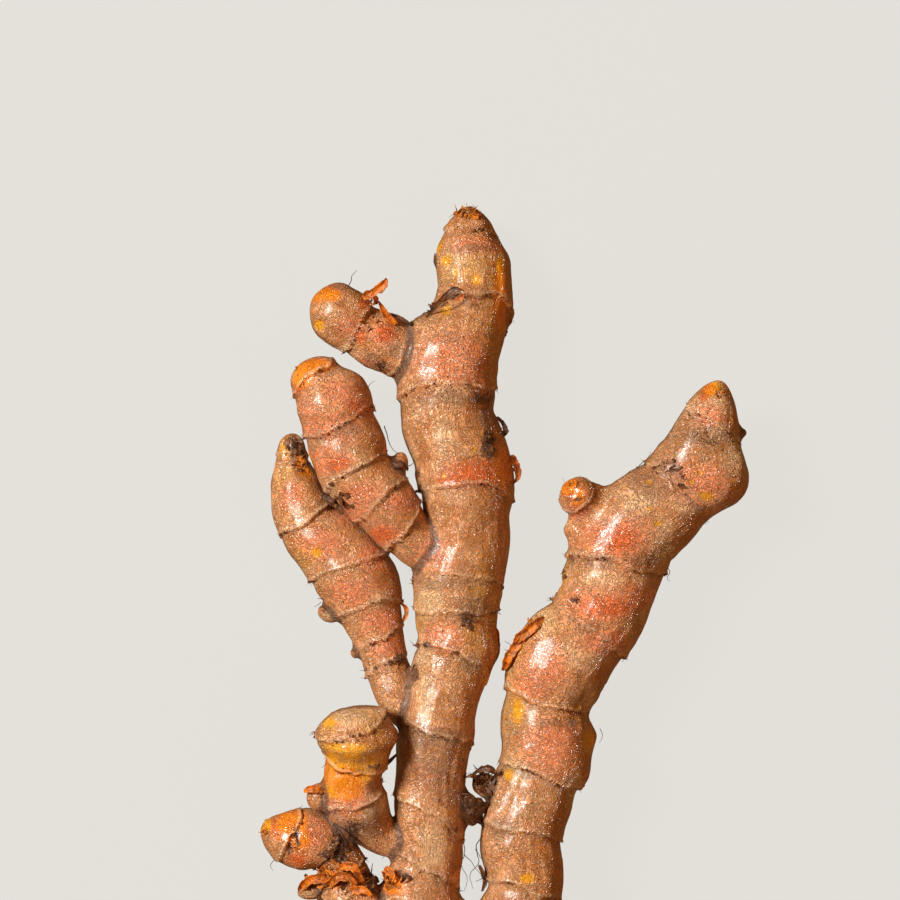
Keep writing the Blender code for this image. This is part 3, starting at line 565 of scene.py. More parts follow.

# Patches of the skin's colour on the upper side, shoot by shoot, the pale ones a painted highlight: x, y,
# reach across, reach along
PATCHES = {
    "knob": {
        "coral": ((-26, 52, 2.5, 1.5), (-21, 51, 2, 2), (-24, 46, 1.5, 1)),
        "ember": ((-30.5, 58.5, 2.5, 1.5), (-23.5, 56.5, 1.5, 1.5), (-24.5, 50.5, 1, 1.5),
            (-20.5, 51, 1.5, 1.5)),
        "orange": ((-32, 58, 2, 1.5), (-29.5, 57.5, 1.5, 1)),
        "gold": ((-31.5, 52.5, 1, 1),),
        "umber": ((-21, 45.5, 1, 1),),
        "cork": ((-22.5, 47, 1.5, 1), (-18.5, 48, 1.5, 1.5)),
        "pale": ((-27, 48, 1.5, 2),),
        "mauve": ((-28, 59, 2, 1),),
    },
    "central_finger": {
        "coral": ((-6, 66, 4.5, 1.5), (-11.5, 47, 4, 3.5), (-9, 46.5, 6, 4.5), (-4.5, 41, 1.5, 1),
            (-12, 14, 3, 3), (-10.5, 0, 3.5, 2.5)),
        "ember": ((-5, 27.5, 5.5, 2.5), (-9, 26.5, 3, 1.5), (-19, -42, 2.5, 1.5)),
        "orange": ((-1, 57, 1, 5), (-0.5, 28.5, 1, 3.5), (-19, -41.5, 2, 1.5)),
        "gold": ((-11.5, 66.5, 1, 1.5), (-10, 63.5, 1, 1), (-8.5, 61.5, 0.5, 1), (-5, 60, 1, 1),
            (-1, 62, 1, 2), (-7.5, 57, 0.5, 0.5), (-10, 55, 1, 1), (-5.5, 31.5, 0.5, 0.5),
            (-10.5, 27, 0.5, 0.5), (-3, -8.5, 1, 1.5)),
        "umber": ((-9, 57.5, 2, 1), (-10.5, 56, 1, 0.5), (-4, 40, 2.5, 1.5), (-3, 32.5, 1.5, 2.5),
            (-2.5, 30.5, 0.5, 1), (-6.5, 2.5, 1.5, 2), (-18, -4, 1, 1), (-15.5, -6.5, 1, 1.5),
            (-22.5, -40.5, 1, 1.5)),
        "cork": ((-6, 65.5, 4.5, 1), (-9, 40, 8, 1.5), (-3, 36.5, 2, 4.5), (-11.5, 9, 6, 1),
            (-6, 5, 4, 2.5), (-6, -4.5, 2.5, 1.5), (-12, -17, 6, 2)),
        "pale": ((-8.5, 64, 2.5, 3), (-9, 46, 2, 3), (-7.5, 41, 2.5, 1.5), (-10.5, 42.5, 2, 3.5),
            (-10.5, 34, 2, 2.5), (-13, 6.5, 2.5, 3.5), (-14, -2.5, 1.5, 3.5), (-13.5, -10.5, 1.5, 4.5),
            (-12.5, -35.5, 2.5, 4.5)),
        "straw": ((-7.5, 63.5, 4.5, 4), (-1, 58.5, 2, 5), (-2, 49.5, 1.5, 4.5), (-3, 8, 2, 7),
            (-5, 6.5, 1.5, 4), (-14.5, 3, 1.5, 5), (-6, -2, 2.5, 5)),
        "mauve": ((-9.5, 50, 1.5, 1), (-11.5, -22.5, 5, 4.5), (-9, -27, 3.5, 1.5), (-13, -16, 2.5, 1)),
    },
    "second_finger": {
        "coral": ((-28, 41, 3.5, 2.5), (-33.5, 38, 2, 2.5), (-28.5, 35, 4, 3.5), (-33, 35, 2.5, 2.5),
            (-30, 29.5, 4, 2.5), (-24.5, 24, 3, 2), (-18.5, 22.5, 2.5, 2), (-26, 21, 3.5, 2.5),
            (-20.5, 17.5, 3, 2), (-22.5, 13, 2.5, 2.5)),
        "ember": ((-32, 45.5, 2.5, 1.5), (-35, 42, 1, 2), (-24.5, 38.5, 3, 1.5), (-28, 29, 2.5, 1.5),
            (-21, 17, 2.5, 1.5)),
        "orange": ((-34, 43.5, 1.5, 1.5), (-32, 45.5, 2.5, 1)),
        "gold": ((-34.5, 44.5, 1.5, 1.5), (-35, 43, 1, 1)),
        "cork": ((-26.5, 34.5, 3, 1), (-18, 26, 2, 1)),
        "pale": ((-27.5, 40, 3.5, 3), (-26, 29.5, 3.5, 2.5)),
        "mauve": ((-14.5, 23.5, 1.5, 2),),
    },
    "lower_finger": {
        "coral": ((-36.5, 23.5, 2, 2.5), (-31.5, 15.5, 3.5, 2.5), (-26, 7.5, 4, 2.5),
            (-21.5, 2.5, 3, 2), (-20.5, -2, 2.5, 1.5)),
        "orange": ((-34, 29, 1.5, 2),),
        "gold": ((-37.5, 31.5, 1, 2), (-32, 14, 1, 1)),
        "umber": ((-36.5, 32.5, 1.5, 1.5), (-28, 2, 0.5, 0.5), (-22, -5.5, 0.5, 0.5)),
        "cork": ((-35, 31, 2.5, 2.5), (-30.5, 22.5, 2, 1.5)),
        "pale": ((-30, 23.5, 1.5, 1), (-35, 21, 1.5, 1.5), (-21.5, 6.5, 2, 1.5), (-30, 3, 1, 1)),
        "straw": ((-34.5, 13, 1.5, 2.5), (-37.5, 26.5, 1.5, 2.5)),
    },
    "stub": {
        "coral": ((-26.5, -27.5, 3.5, 2.5),),
        "orange": ((-26.5, -25, 2.5, 2), (-27, -23, 2.5, 1.5), (-31, -22.5, 1.5, 2.5)),
        "gold": ((-26.5, -22.5, 4, 3), (-28.5, -25.5, 2.5, 1.5), (-24, -23, 2, 1.5), (-26.5, -18, 5, 1),
            (-25.5, -19.5, 2.5, 1), (-29, -20, 1.5, 1.5), (-22, -20, 2, 1.5), (-29.5, -14, 1.5, 1)),
        "cork": ((-25, -18.5, 5, 1), (-22.5, -31.5, 2.5, 3)),
        "pale": ((-27, -13, 5.5, 2), (-22.5, -28, 2.5, 2.5)),
        "straw": ((-30.5, -14, 2, 2.5), (-22.5, -14, 2.5, 2)),
        "mauve": ((-26, -20.5, 2.5, 1.5), (-26, -17.5, 1.5, 1), (-23, -25, 1.5, 1.5)),
    },
    "bulb": {
        "coral": ((-33, -33, 2.5, 2.5),),
        "ember": ((-36, -34, 1.5, 2), (-37.5, -32, 3, 2.5), (-35, -37.5, 2, 1.5)),
        "orange": ((-36, -31.5, 2.5, 2.5), (-34.5, -34, 1.5, 1.5)),
        "gold": ((-40.5, -32, 1, 1.5),),
        "umber": ((-35, -33.5, 0.5, 2.5), (-36.5, -35.5, 0.5, 1.5), (-26, -33.5, 2, 3),
            (-28.5, -36.5, 3, 1.5)),
        "cork": ((-28, -35.5, 3.5, 2.5),),
        "mauve": ((-26.5, -32, 2.5, 2.5), (-29.5, -29, 2, 1.5)),
    },
    "right_finger": {
        "coral": ((32.5, 25.5, 5, 4), (34, 37, 2.5, 2), (18.5, 16.5, 6, 4.5), (22.5, 6.5, 3.5, 2.5),
            (15.5, 5.5, 5, 3.5), (17, -1, 5, 2.5), (6.5, -4.5, 4, 4.5), (4, -8.5, 3, 2.5), (7.5, -18, 5, 4)),
        "ember": ((33.5, 40.5, 1, 1), (18.5, 16.5, 3.5, 2.5), (17.5, 5, 4.5, 2)),
        "orange": ((34.5, 41.5, 1, 1), (-7.5, -41, 1.5, 1.5)),
        "gold": ((35.5, 42, 1, 1), (33.5, 23.5, 1.5, 1), (32.5, 27.5, 0.5, 0.5), (31, 26, 0.5, 0.5),
            (24, 26, 0.5, 0.5), (24, 21.5, 0.5, 0.5), (25.5, 19, 1, 0.5), (9, 9.5, 1, 2.5),
            (2, -12.5, 1, 2.5), (0.5, -23.5, 1, 1), (14, -18, 1.5, 2.5), (3.5, -40.5, 1.5, 1)),
        "umber": ((35.5, 41, 0.5, 0.5), (11.5, 6, 1, 0.5), (-4, -42, 1, 1.5)),
        "cork": ((33, 33.5, 4.5, 2), (27.5, 27.5, 3, 2.5), (25, 25, 4.5, 3.5), (22.5, 13, 4.5, 1.5),
            (15, 12.5, 4.5, 1.5), (14, 1.5, 3, 1), (9, -14.5, 4.5, 1), (2, -23, 4.5, 1), (-1, -32, 4.5, 1.5)),
        "pale": ((35, 38.5, 3.5, 2.5), (30.5, 38.5, 1.5, 1.5), (36, 35, 2, 2.5), (38.5, 30, 2, 4),
            (30.5, 22.5, 5, 2), (22.5, 22.5, 3.5, 2.5), (15.5, 20, 2, 1.5), (26, 15.5, 2.5, 4.5),
            (15.5, 9.5, 3.5, 3.5), (23.5, 6.5, 2, 5), (6.5, 2.5, 2.5, 3), (20.5, 0, 1.5, 3.5),
            (15.5, -2.5, 3.5, 2.5), (10.5, -3, 3, 2.5), (14, -10.5, 1.5, 3.5), (2, -22, 2.5, 2.5),
            (11.5, -25.5, 2, 3.5)),
        "straw": ((32.5, 41, 2.5, 1.5), (9, 13, 2, 3.5), (5.5, 6.5, 2.5, 4), (6.5, 3, 2, 3.5),
            (3, -2, 1.5, 4), (2, -10.5, 2.5, 5), (1, -12.5, 2, 4.5), (1.5, -22, 2, 3.5), (12, -11, 1.5, 2.5)),
        "mauve": ((27, 28.5, 2, 1.5), (22.5, 26.5, 2.5, 1.5), (11.5, -10, 2, 1.5)),
    },
    "shoulder_bud": {
        "coral": ((12, 21, 2.5, 1.5),),
        "ember": ((11.5, 24.5, 2, 2),),
        "orange": ((10.5, 25.5, 1.5, 1.5), (12, 23.5, 1, 1.5)),
        "umber": ((12, 25.5, 0.5, 0.5), (12, 23, 1.5, 0.5)),
    },
    "side_buds": {
        "umber": ((-5.5, -28, 1, 2), (-6, -29, 1.5, 1.5), (-3.5, -25, 1.5, 2), (-3, -27, 1, 1.5),
            (-6, -24, 1, 1)),
    },
}
PATCH_FADE = 0.8     # how fast a patch fades past its middle
PATCH_COLOURS = ("coral", "ember", "orange", "gold", "umber", "cork", "pale", "straw", "mauve")


def move_vertices(mesh, points):
    mesh.vertices.foreach_set("co", points.astype(np.float32).ravel())
    mesh.update()


def paint(points, upward, patches):
    """Strength of a colour at each vertex: 1 in the middle of a patch, fading past its reach."""
    strength = np.zeros(len(points))
    facing = smooth((upward + 0.15) / 0.4)
    for x, y, across, lengthwise in patches:
        gap = np.hypot((points[:, 0] - x) / across, (points[:, 1] - y) / lengthwise)
        strength = np.maximum(strength, np.exp(-PATCH_FADE * gap**2) * facing)
    return strength


points[:, 2] = np.maximum(points[:, 2], 0.0)
move_vertices(rhizome.data, points)
rightward, _, upward = read(rhizome.data.vertices, "normal", 3).T
for name in PATCH_COLOURS:
    patches = [patch for shoot in PATCHES.values() for patch in shoot.get(name, ())]
    keep(rhizome.data, name, paint(points, upward, patches))
keep(rhizome.data, "joint_shade", smooth(1.0 - seam / JOINT_SHADE_REACH))
# side is 1 where the skin faces sideways or down, flank is 1 where it faces right; the skin's colour takes
# painted shade from both
keep(rhizome.data, "side", smooth(1.0 - (upward + 0.05) / 0.5))
keep(rhizome.data, "flank", smooth((rightward + 0.02) / 0.75))

# The middle of the shoots goes to the middle of the CAD node, which stands on the table.
SHOOTS_MIDDLE = (-0.05, -0.35, 0.0)

low, high = (np.array(corner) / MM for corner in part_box("turmeric_rhizome"))
middle = np.array(SHOOTS_MIDDLE) - (low + high) * (0.5, 0.5, 0.0)
move_vertices(rhizome.data, (points - middle) * MM)
rhizome.data.shade_smooth()


class Bench:
    """A node tree being wired. It also stands for one of its sockets, which then takes part in plain sums."""

    def __init__(self, tree, socket=None):
        self.tree, self.socket = tree, socket

    def node(self, kind, settings=(), **inputs):
        """Adds a node: its settings first, then the values or links of its sockets."""
        made = self.tree.nodes.new(kind)
        for key, value in dict(settings).items():
            setattr(made, key, value)
        for key, value in inputs.items():
            self.plug(made, key.replace("_", " "), value)
        return made

    def plug(self, node, key, value):
        """Gives the node's socket of that name or number a value or a link."""
        sockets = list(node.inputs) if isinstance(key, int) else [
            socket for socket in node.inputs if socket.enabled and socket.name.lower() == key.lower()
        ]
        socket = sockets[key if isinstance(key, int) else 0]
        if isinstance(value, Bench):
            self.tree.links.new(value.socket, socket)
        elif isinstance(value, bpy.types.NodeSocket):
            self.tree.links.new(value, socket)
        else:
            socket.default_value = value

    def wire(self, node, output=0):
        return Bench(self.tree, node.outputs[output])

    def maths(self, operation, *values, clamp=False):
        made = self.node("ShaderNodeMath", {"operation": operation, "use_clamp": clamp})
        for number, value in enumerate(values):
            self.plug(made, number, value)
        return self.wire(made)

    def __add__(self, other):
        return self.maths("ADD", self, other)

    def __sub__(self, other):
        return self.maths("SUBTRACT", self, other)

    def __rsub__(self, other):
        return self.maths("SUBTRACT", other, self)

    def __mul__(self, other):
        return self.maths("MULTIPLY", self, other)

    __radd__, __rmul__ = __add__, __mul__

    def limited(self):
        return self.maths("MULTIPLY", self, 1.0, clamp=True)

    def size(self):
        return self.maths("ABSOLUTE", self)

    def step(self, low, high):
        """0 below low, 1 above high, eased between. With low over high it runs the other way."""
        made = self.node("ShaderNodeMapRange", {"interpolation_type": "SMOOTHSTEP"}, Value=self)
        self.plug(made, "From Min", low)
        self.plug(made, "From Max", high)
        return self.wire(made)

    def blend(self, first, second):
        """The first colour where this is 0 and the second where it is 1."""
        made = self.node("ShaderNodeMix", {"data_type": "RGBA"}, Factor=self, A=first, B=second)
        return self.wire(made, 2)

    def attribute(self, name):
        return self.wire(self.node("ShaderNodeAttribute", {"attribute_name": name}), 2)

    def grain(self, place, scale, detail=2.0, roughness=0.55, distortion=0.0):
        return self.wire(self.node(
            "ShaderNodeTexNoise",
            Vector=place, Scale=scale, Detail=detail, Roughness=roughness, Distortion=distortion,
        ))

    def cells(self, place, scale):
        return self.wire(self.node("ShaderNodeTexVoronoi", Vector=place, Scale=scale))

    def stretched(self, place, *scale):
        return self.wire(self.node("ShaderNodeMapping", Vector=place, Scale=scale))


def new_material(name):
    material = bpy.data.materials.new(name)
    material.use_nodes = True
    return material, Bench(material.node_tree), material.node_tree.nodes["Principled BSDF"]


# Colours of the skin, linear
TAN = (0.60, 0.200, 0.045, 1.0)
PALE_TAN = (0.95, 0.45, 0.190, 1.0)
BROWN_TAN = (0.38, 0.120, 0.016, 1.0)
CORK = (0.25, 0.095, 0.026, 1.0)
PALE_CORK = (0.50, 0.235, 0.09, 1.0)
CORAL = (1.0, 0.27, 0.110, 1.0)
PALE_PINK = (1.0, 0.66, 0.40, 1.0)
EMBER = (0.88, 0.150, 0.020, 1.0)
# Painted shade for the right flanks, the side away from the key light
RIGHT_SHADE_AMBER = (0.70, 0.215, 0.014, 1.0)
STRAW = (0.76, 0.36, 0.045, 1.0)
# Painted highlight, for the sides the light falls on
HIGHLIGHT_CREAM = (1.0, 0.60, 0.30, 1.0)
ORANGE = (1.0, 0.27, 0.008, 1.0)
GOLD = (1.0, 0.43, 0.006, 1.0)
MAUVE = (0.40, 0.145, 0.072, 1.0)
UMBER = (0.085, 0.026, 0.006, 1.0)
DARK = (0.022, 0.007, 0.002, 1.0)
SCAR_BROWN = (0.20, 0.07, 0.018, 1.0)
SHADE_BROWN = (0.16, 0.045, 0.006, 1.0)

SKIN_BUMP = 0.00026        # height of the finest wrinkles
SKIN_GLOW_DEPTH = 0.0010   # how deep light gets into the flesh


def skin_material():
    material, bench, shader = new_material("turmeric_skin")
    place = bench.node("ShaderNodeTexCoord").outputs["Object"]
    flat = bench.node("ShaderNodeUVMap", {"uv_map": "skin"}).outputs[0]
    above, below = bench.attribute("above"), bench.attribute("below")
    broad = bench.grain(place, 110.0, 2.0)
    middling = bench.grain(place, 330.0, 3.0)
    fine = bench.grain(place, 1700.0, 2.0, 0.6)
    streaks = bench.grain(bench.stretched(flat, 9.0, 1.6, 1.0), 1.0, 3.0, 0.6)
    rough_cloud = (middling - 0.5) * 1.1 + (fine - 0.5) * 0.2

    def patch(name, raggedness, low, high):
        """Where the patches of a colour lie, with ragged edges."""
        return (bench.attribute(name) + rough_cloud * raggedness).step(low, high)

    # Wrinkles of the drying skin: curly threads where it is slack, long ones where it is taut
    warped = bench.stretched(flat, 12.0, 3.0, 1.0)
    curls = (1.0 - (bench.grain(place, 800.0, 1.0, 0.5, 2.0) - 0.5).size() * 13.0).step(0.0, 1.0)
    lines = (1.0 - (bench.grain(warped, 1.0, 1.5, 0.5, 1.6) - 0.5).size() * 15.0).step(0.0, 1.0)
    threads = (1.0 - (bench.grain(place, 1300.0, 1.0, 0.5, 1.0) - 0.5).size() * 8.0).step(0.0, 1.0)
    pimples = bench.cells(place, 1100.0).step(0.30, 0.08)
    slack = (bench.grain(place, 170.0, 1.0) + bench.attribute("coral") * 0.10).step(0.33, 0.50)
    wrinkles = curls * slack + lines * (1.0 - slack) * 0.55

    # Tan skin, streaked along the shoot and browner in broad clouds
    colour = (middling * 0.6 + streaks * 0.4).step(0.36, 0.66).blend(TAN, PALE_TAN)
    cloud = (streaks - 0.5) * 1.0 + (broad - 0.5) * 2.0 + 0.10
    colour = cloud.step(0.0, 1.0).blend(colour, BROWN_TAN)
    # Painted shade: amber on the right flanks, the side turned away from the key light
    flank = bench.attribute("flank")
    right_shade = (flank + (streaks - 0.5) * 0.5 + (middling - 0.5) * 0.3).step(0.10, 1.0)
    colour = (right_shade * 0.70).blend(colour, RIGHT_SHADE_AMBER)
    # Yellow stretches, cream patches that are a painted highlight on the sides the light falls on, then coral
    # and red-orange flesh showing through near the rims
    colour = (patch("straw", 0.4, 0.15, 0.9) * 0.6).blend(colour, STRAW)
    colour = (patch("pale", 0.5, 0.15, 1.0) * 0.8).blend(colour, HIGHLIGHT_CREAM)
    near_rim = above.step(6.0, 0.6) * (broad + (middling - 0.5) * 0.5).step(0.40, 0.62)
    coral = (near_rim * 0.25 + bench.attribute("coral") + rough_cloud * 0.25).step(0.10, 0.95)
    colour = (coral * 0.82).blend(colour, CORAL)
    ember = patch("ember", 0.35, 0.15, 0.95)
    colour = (ember * 0.85).blend(colour, EMBER)
    colour = (patch("mauve", 0.5, 0.15, 0.95) * 0.6).blend(colour, MAUVE)
    gold = patch("gold", 0.2, 0.20, 0.92)
    orange = patch("orange", 0.2, 0.12, 0.62)
    # Corky felt in the neck below each ring, ragged towards the root
    felt = below * -0.36 + 0.80 + rough_cloud * 1.6 + bench.attribute("cork") * 0.9
    felt = (felt * (broad + (streaks - 0.5) * 0.9).step(0.24, 0.52)).step(0.05, 1.0)
    dusty = (bench.attribute("cork") + rough_cloud * 0.9 + (fine - 0.5) * 0.5).step(0.48, 0.82)
    felt = (felt * 0.7 + dusty).limited()
    colour = (felt * 0.58).blend(colour, (wrinkles * 0.7 + fine * 0.3).blend(CORK, PALE_CORK))
    # Painted highlight: the wrinkle tops are painted paler, standing in for the glints on them
    tops = (wrinkles * 0.9 + threads * 0.25 + pimples * 0.4).limited() * (broad.step(0.35, 0.60) * 0.5 + 0.5)
    bare = (1.0 - felt * 0.35) * (1.0 - right_shade * 0.7) * (1.0 - (ember + gold + orange).limited() * 0.6)
    colour = (tops * 0.66 * bare).blend(colour, PALE_PINK)
    # Bare orange and yellow flesh on the tips and the stub, where the skin has gone
    colour = (gold * 0.9).blend(colour, GOLD)
    colour = (orange * 0.9).blend(colour, ORANGE)
    # A pale torn lip with a dark line and black dots under it
    lip = (above - 0.40 + (fine - 0.5) * 0.6).size().step(0.36, 0.1)
    colour = (lip * 0.40).blend(colour, PALE_PINK)
    line = (below - 0.10 + (fine - 0.5) * 0.9).size().step(0.34, 0.1) * middling.step(0.36, 0.54)
    colour = (line * 0.8).blend(colour, UMBER)
    dots = bench.cells(place, 900.0).step(0.28, 0.16) * (below + rough_cloud).step(1.2, 0.2)
    colour = (dots * 0.85).blend(colour, DARK)
    # Specks and scars, and painted shade in the joints between shoots
    speck = bench.cells(place, 430.0).step(0.10, 0.05) * broad.step(0.40, 0.50)
    colour = (speck * 0.75).blend(colour, UMBER)
    torn = (middling - 0.5) * 2.2 + (fine - 0.5) * 1.8 - wrinkles * 0.25
    scar = (bench.attribute("umber") * 1.25 + torn * 0.8).step(0.62, 0.92)
    colour = (scar * 0.88).blend(colour, fine.step(0.35, 0.62).blend(DARK, SCAR_BROWN))
    colour = (bench.attribute("joint_shade").step(0.35, 1.0) * 0.75).blend(colour, UMBER)
    # Painted shade: browner where the skin faces sideways or down, darkening the edges seen from above
    side = (bench.attribute("side") + (middling - 0.5) * 0.35).step(0.25, 0.95)
    colour = (side * 0.62 * (1.0 - orange * 0.8) * (1.0 - flank * 0.6)).blend(colour, SHADE_BROWN)
    bench.plug(shader, "Base Color", colour)

    damp = (coral * 0.5 + ember + right_shade * 0.4 + gold + orange + tops * 0.5).limited()
    dull = felt * 0.12 + scar * 0.2 + bench.attribute("joint_shade") * 0.4
    bench.plug(shader, "Roughness", 0.25 - damp * 0.07 + dull + (middling - 0.5) * 0.25)
    height = wrinkles * 1.6 + threads * 0.3 + middling * 0.9 + fine * (0.15 + felt * 0.45) + pimples * 0.4
    height = height * (1.0 - (gold + orange).limited() * 0.65)
    height = height - (speck + dots + scar) * 0.5
    bump = bench.node("ShaderNodeBump", Strength=1.0, Distance=SKIN_BUMP, Height=height)
    bench.plug(shader, "Normal", bump.outputs[0])
    # A film of moisture on the wrinkle tops and on the bare flesh
    film = tops + (orange + gold * 0.6).limited() * 0.3
    bench.plug(shader, "Coat Weight", (film * (1.0 - dull.limited())).limited())
    bench.plug(shader, "Coat Roughness", 0.26)
    bench.plug(shader, "Specular IOR Level", 1.0)
    bench.plug(shader, "Subsurface Weight", 0.15)
    bench.plug(shader, "Subsurface Radius", (1.0, 0.25, 0.05))
    bench.plug(shader, "Subsurface Scale", SKIN_GLOW_DEPTH)
    return material


rhizome.data.materials.clear()
rhizome.data.materials.append(skin_material())
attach(rhizome, "root")
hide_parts("turmeric_rhizome")

# ---------------------------------------------------------------------------------------------
# The papery fringe: what is left of the leaf sheaths, torn off short all round each ring. Brown,
# brittle flakes and fibres that still stick to the rim, thick in some stretches and gone in others.

FLAKE_STEP = 0.45           # distance between flakes round a ring
FLAKE_LENGTH = (0.3, 1.0)   # shortest and longest
FLAKE_GAPS = 1.15           # how often a place stays bare
FLAKE_STRETCH = 2.6         # length over which the fringe is thick or gone
FLAKE_TUFT = 0.8            # length of a single tuft in it
FLAKE_TURN = 3.0            # most turn in its place, in radians
FLAKE_TILT = 0.45           # most lift of the free end, in radians
FLAKE_OFF_SKIN = 0.35       # a ring's edge further than this from the skin is buried and bears none
FLAKE_LOWEST = 0.6          # nor does it this near the table
FLAKE_SEED = 7
FLAKE_COLOURS = ((0.30, 0.085, 0.014, 1.0), (0.055, 0.018, 0.006, 1.0), (0.62, 0.33, 0.14, 1.0))


def skin_tree(obj):
    """A tree for finding the nearest place on the finished skin."""
    corners = [vertex.co.copy() for vertex in obj.data.vertices]
    return BVHTree.FromPolygons(corners, [polygon.vertices[:] for polygon in obj.data.polygons])


def ring_places(skin, step, patchiness, seed):
    """Places round every ring that lie on the finished skin: point, outward, rootward, strength."""
    random = np.random.default_rng(seed)
    places = []
    for points, rootward in rims:
        loop = np.concatenate([points, points[:1]])
        runs = np.concatenate([[0.0], np.cumsum(np.linalg.norm(np.diff(loop, axis=0), axis=1))])
        for run in np.arange(0.0, runs[-1], step):
            i = min(int(np.searchsorted(runs, run, side="right")) - 1, len(points) - 1)
            share = (run - runs[i]) / (runs[i + 1] - runs[i])
            place = loop[i] * (1.0 - share) + loop[i + 1] * share
            strength = 0.5 + 1.1 * noise.noise(Vector(place / FLAKE_STRETCH))
            strength += 0.3 * noise.noise(Vector(place / FLAKE_TUFT))
            if strength < patchiness * random.random():
                continue
            place = Vector((place - middle) * MM)
            near, normal, _, gap = skin.find_nearest(place)
            if gap < FLAKE_OFF_SKIN * MM and near.z > FLAKE_LOWEST * MM:
                places.append((near, normal, rootward[i], min(1.0, strength)))
    return places


def new_tree(name, **inputs):
    """A Geometry Nodes tree being wired, its input node, and the identifier of each input."""
    tree = bpy.data.node_groups.new(name, "GeometryNodeTree")
    sockets = {}
    for key, kind in {"Geometry": "Geometry", **inputs}.items():
        made = tree.interface.new_socket(key, in_out="INPUT", socket_type="NodeSocket" + kind)
        sockets[key] = made.identifier
    tree.interface.new_socket("Geometry", in_out="OUTPUT", socket_type="NodeSocketGeometry")
    bench = Bench(tree)
    return bench, bench.node("NodeGroupInput"), sockets


def finish_tree(bench, given, geometry):
    """Ends a tree: makes its copies real and gives them the material."""
    real = bench.node("GeometryNodeRealizeInstances", Geometry=geometry)
    finish = given.outputs["Material"]
    dressed = bench.node("GeometryNodeSetMaterial", Geometry=real.outputs[0], Material=finish)
    bench.node("NodeGroupOutput", Geometry=dressed.outputs[0])


def run_tree(carrier, bench, sockets, **values):
    """Runs a tree on the carrier's mesh and keeps what it makes as a plain mesh."""
    modifier = carrier.modifiers.new(carrier.name, "NODES")
    modifier.node_group = bench.tree
    for key, value in values.items():
        modifier[sockets[key]] = value
    made = bpy.data.meshes.new_from_object(carrier.evaluated_get(bpy.context.evaluated_depsgraph_get()))
    carrier.modifiers.clear()
    carrier.data = made


def strewn(name, places, variants, turn, tilt, size, seed, material):
    """A copy of some variant at every place, turned and sized at random, as one mesh."""
    mesh = bpy.data.meshes.new(name)
    mesh.from_pydata([place[0] for place in places], [], [])
    for key, column in (("outward", 1), ("rootward", 2)):
        values = np.array([tuple(place[column]) for place in places], np.float32)
        mesh.attributes.new(key, "FLOAT_VECTOR", "POINT").data.foreach_set("vector", values.ravel())
    keep(mesh, "strength", np.array([place[3] for place in places]))
    carrier = add_object(name, mesh)
    kinds = bpy.data.collections.new(name + "_kinds")
    for variant in variants:
        bpy.context.scene.collection.objects.unlink(variant)
        kinds.objects.link(variant)

    bench, given, sockets = new_tree(
        name, Variants="Collection", Turn="Float", Tilt="Float", Shortest="Float", Longest="Float",
        Seed="Int", Material="Material",
    )

    def named(key, kind):
        return bench.node("GeometryNodeInputNamedAttribute", {"data_type": kind}, Name=key).outputs[0]

    def drawn(low, high, offset):
        seeded = bench.wire(given, "Seed") + offset
        made = bench.node("FunctionNodeRandomValue", {"data_type": "FLOAT"}, Min=low, Max=high, Seed=seeded)
        return bench.wire(made, 1)

    upright = bench.node(
        "FunctionNodeAlignRotationToVector", {"axis": "Z"}, Vector=named("outward", "FLOAT_VECTOR"),
    )
    facing = bench.node(
        "FunctionNodeAlignRotationToVector", {"axis": "X", "pivot_axis": "Z"},
        Rotation=upright.outputs[0], Vector=named("rootward", "FLOAT_VECTOR"),
    )
    # A small roll, a tilt that mostly lifts the free end, and a turn either way
    euler = bench.node(
        "ShaderNodeCombineXYZ", X=drawn(-0.5, 0.5, 1), Y=drawn(-1.0, 0.3, 2) * bench.wire(given, "Tilt"),
        Z=(drawn(0.0, 2.0, 0) - 1.0) * bench.wire(given, "Turn"),
    )
    spin = bench.node("FunctionNodeEulerToRotation", Euler=euler.outputs[0])
    turned = bench.node(
        "FunctionNodeRotateRotation", {"rotation_space": "LOCAL"},
        Rotation=facing.outputs[0], Rotate_By=spin.outputs[0],
    )
    kinds_node = bench.node(
        "GeometryNodeCollectionInfo", {"transform_space": "ORIGINAL"},
        Collection=given.outputs["Variants"], Separate_Children=True, Reset_Children=True,
    )
    length = drawn(bench.wire(given, "Shortest"), bench.wire(given, "Longest"), 3)
    length = length * Bench(bench.tree, named("strength", "FLOAT"))
    choice = bench.node(
        "FunctionNodeRandomValue", {"data_type": "INT"},
        Min=0, Max=len(variants) - 1, Seed=bench.wire(given, "Seed") + 4,
    )
    placed = bench.node(
        "GeometryNodeInstanceOnPoints", Points=given.outputs["Geometry"], Instance=kinds_node.outputs[0],
        Pick_Instance=True, Instance_Index=choice.outputs[2], Rotation=turned.outputs[0], Scale=length,
    )
    finish_tree(bench, given, placed.outputs[0])
    run_tree(
        carrier, bench, sockets, Variants=kinds, Turn=turn, Tilt=tilt, Shortest=size[0] * MM,
        Longest=size[1] * MM, Seed=seed, Material=material,
    )
    carrier.data.name = name
    for variant in variants:
        bpy.data.objects.remove(variant, do_unlink=True)
    bpy.data.collections.remove(kinds)
    return carrier


FLAKE_MIDDLE = 0.45         # where the middle of a flake lies, and its lift and sag there
FLAKE_LIFT = 0.2
FLAKE_SAG = 0.02


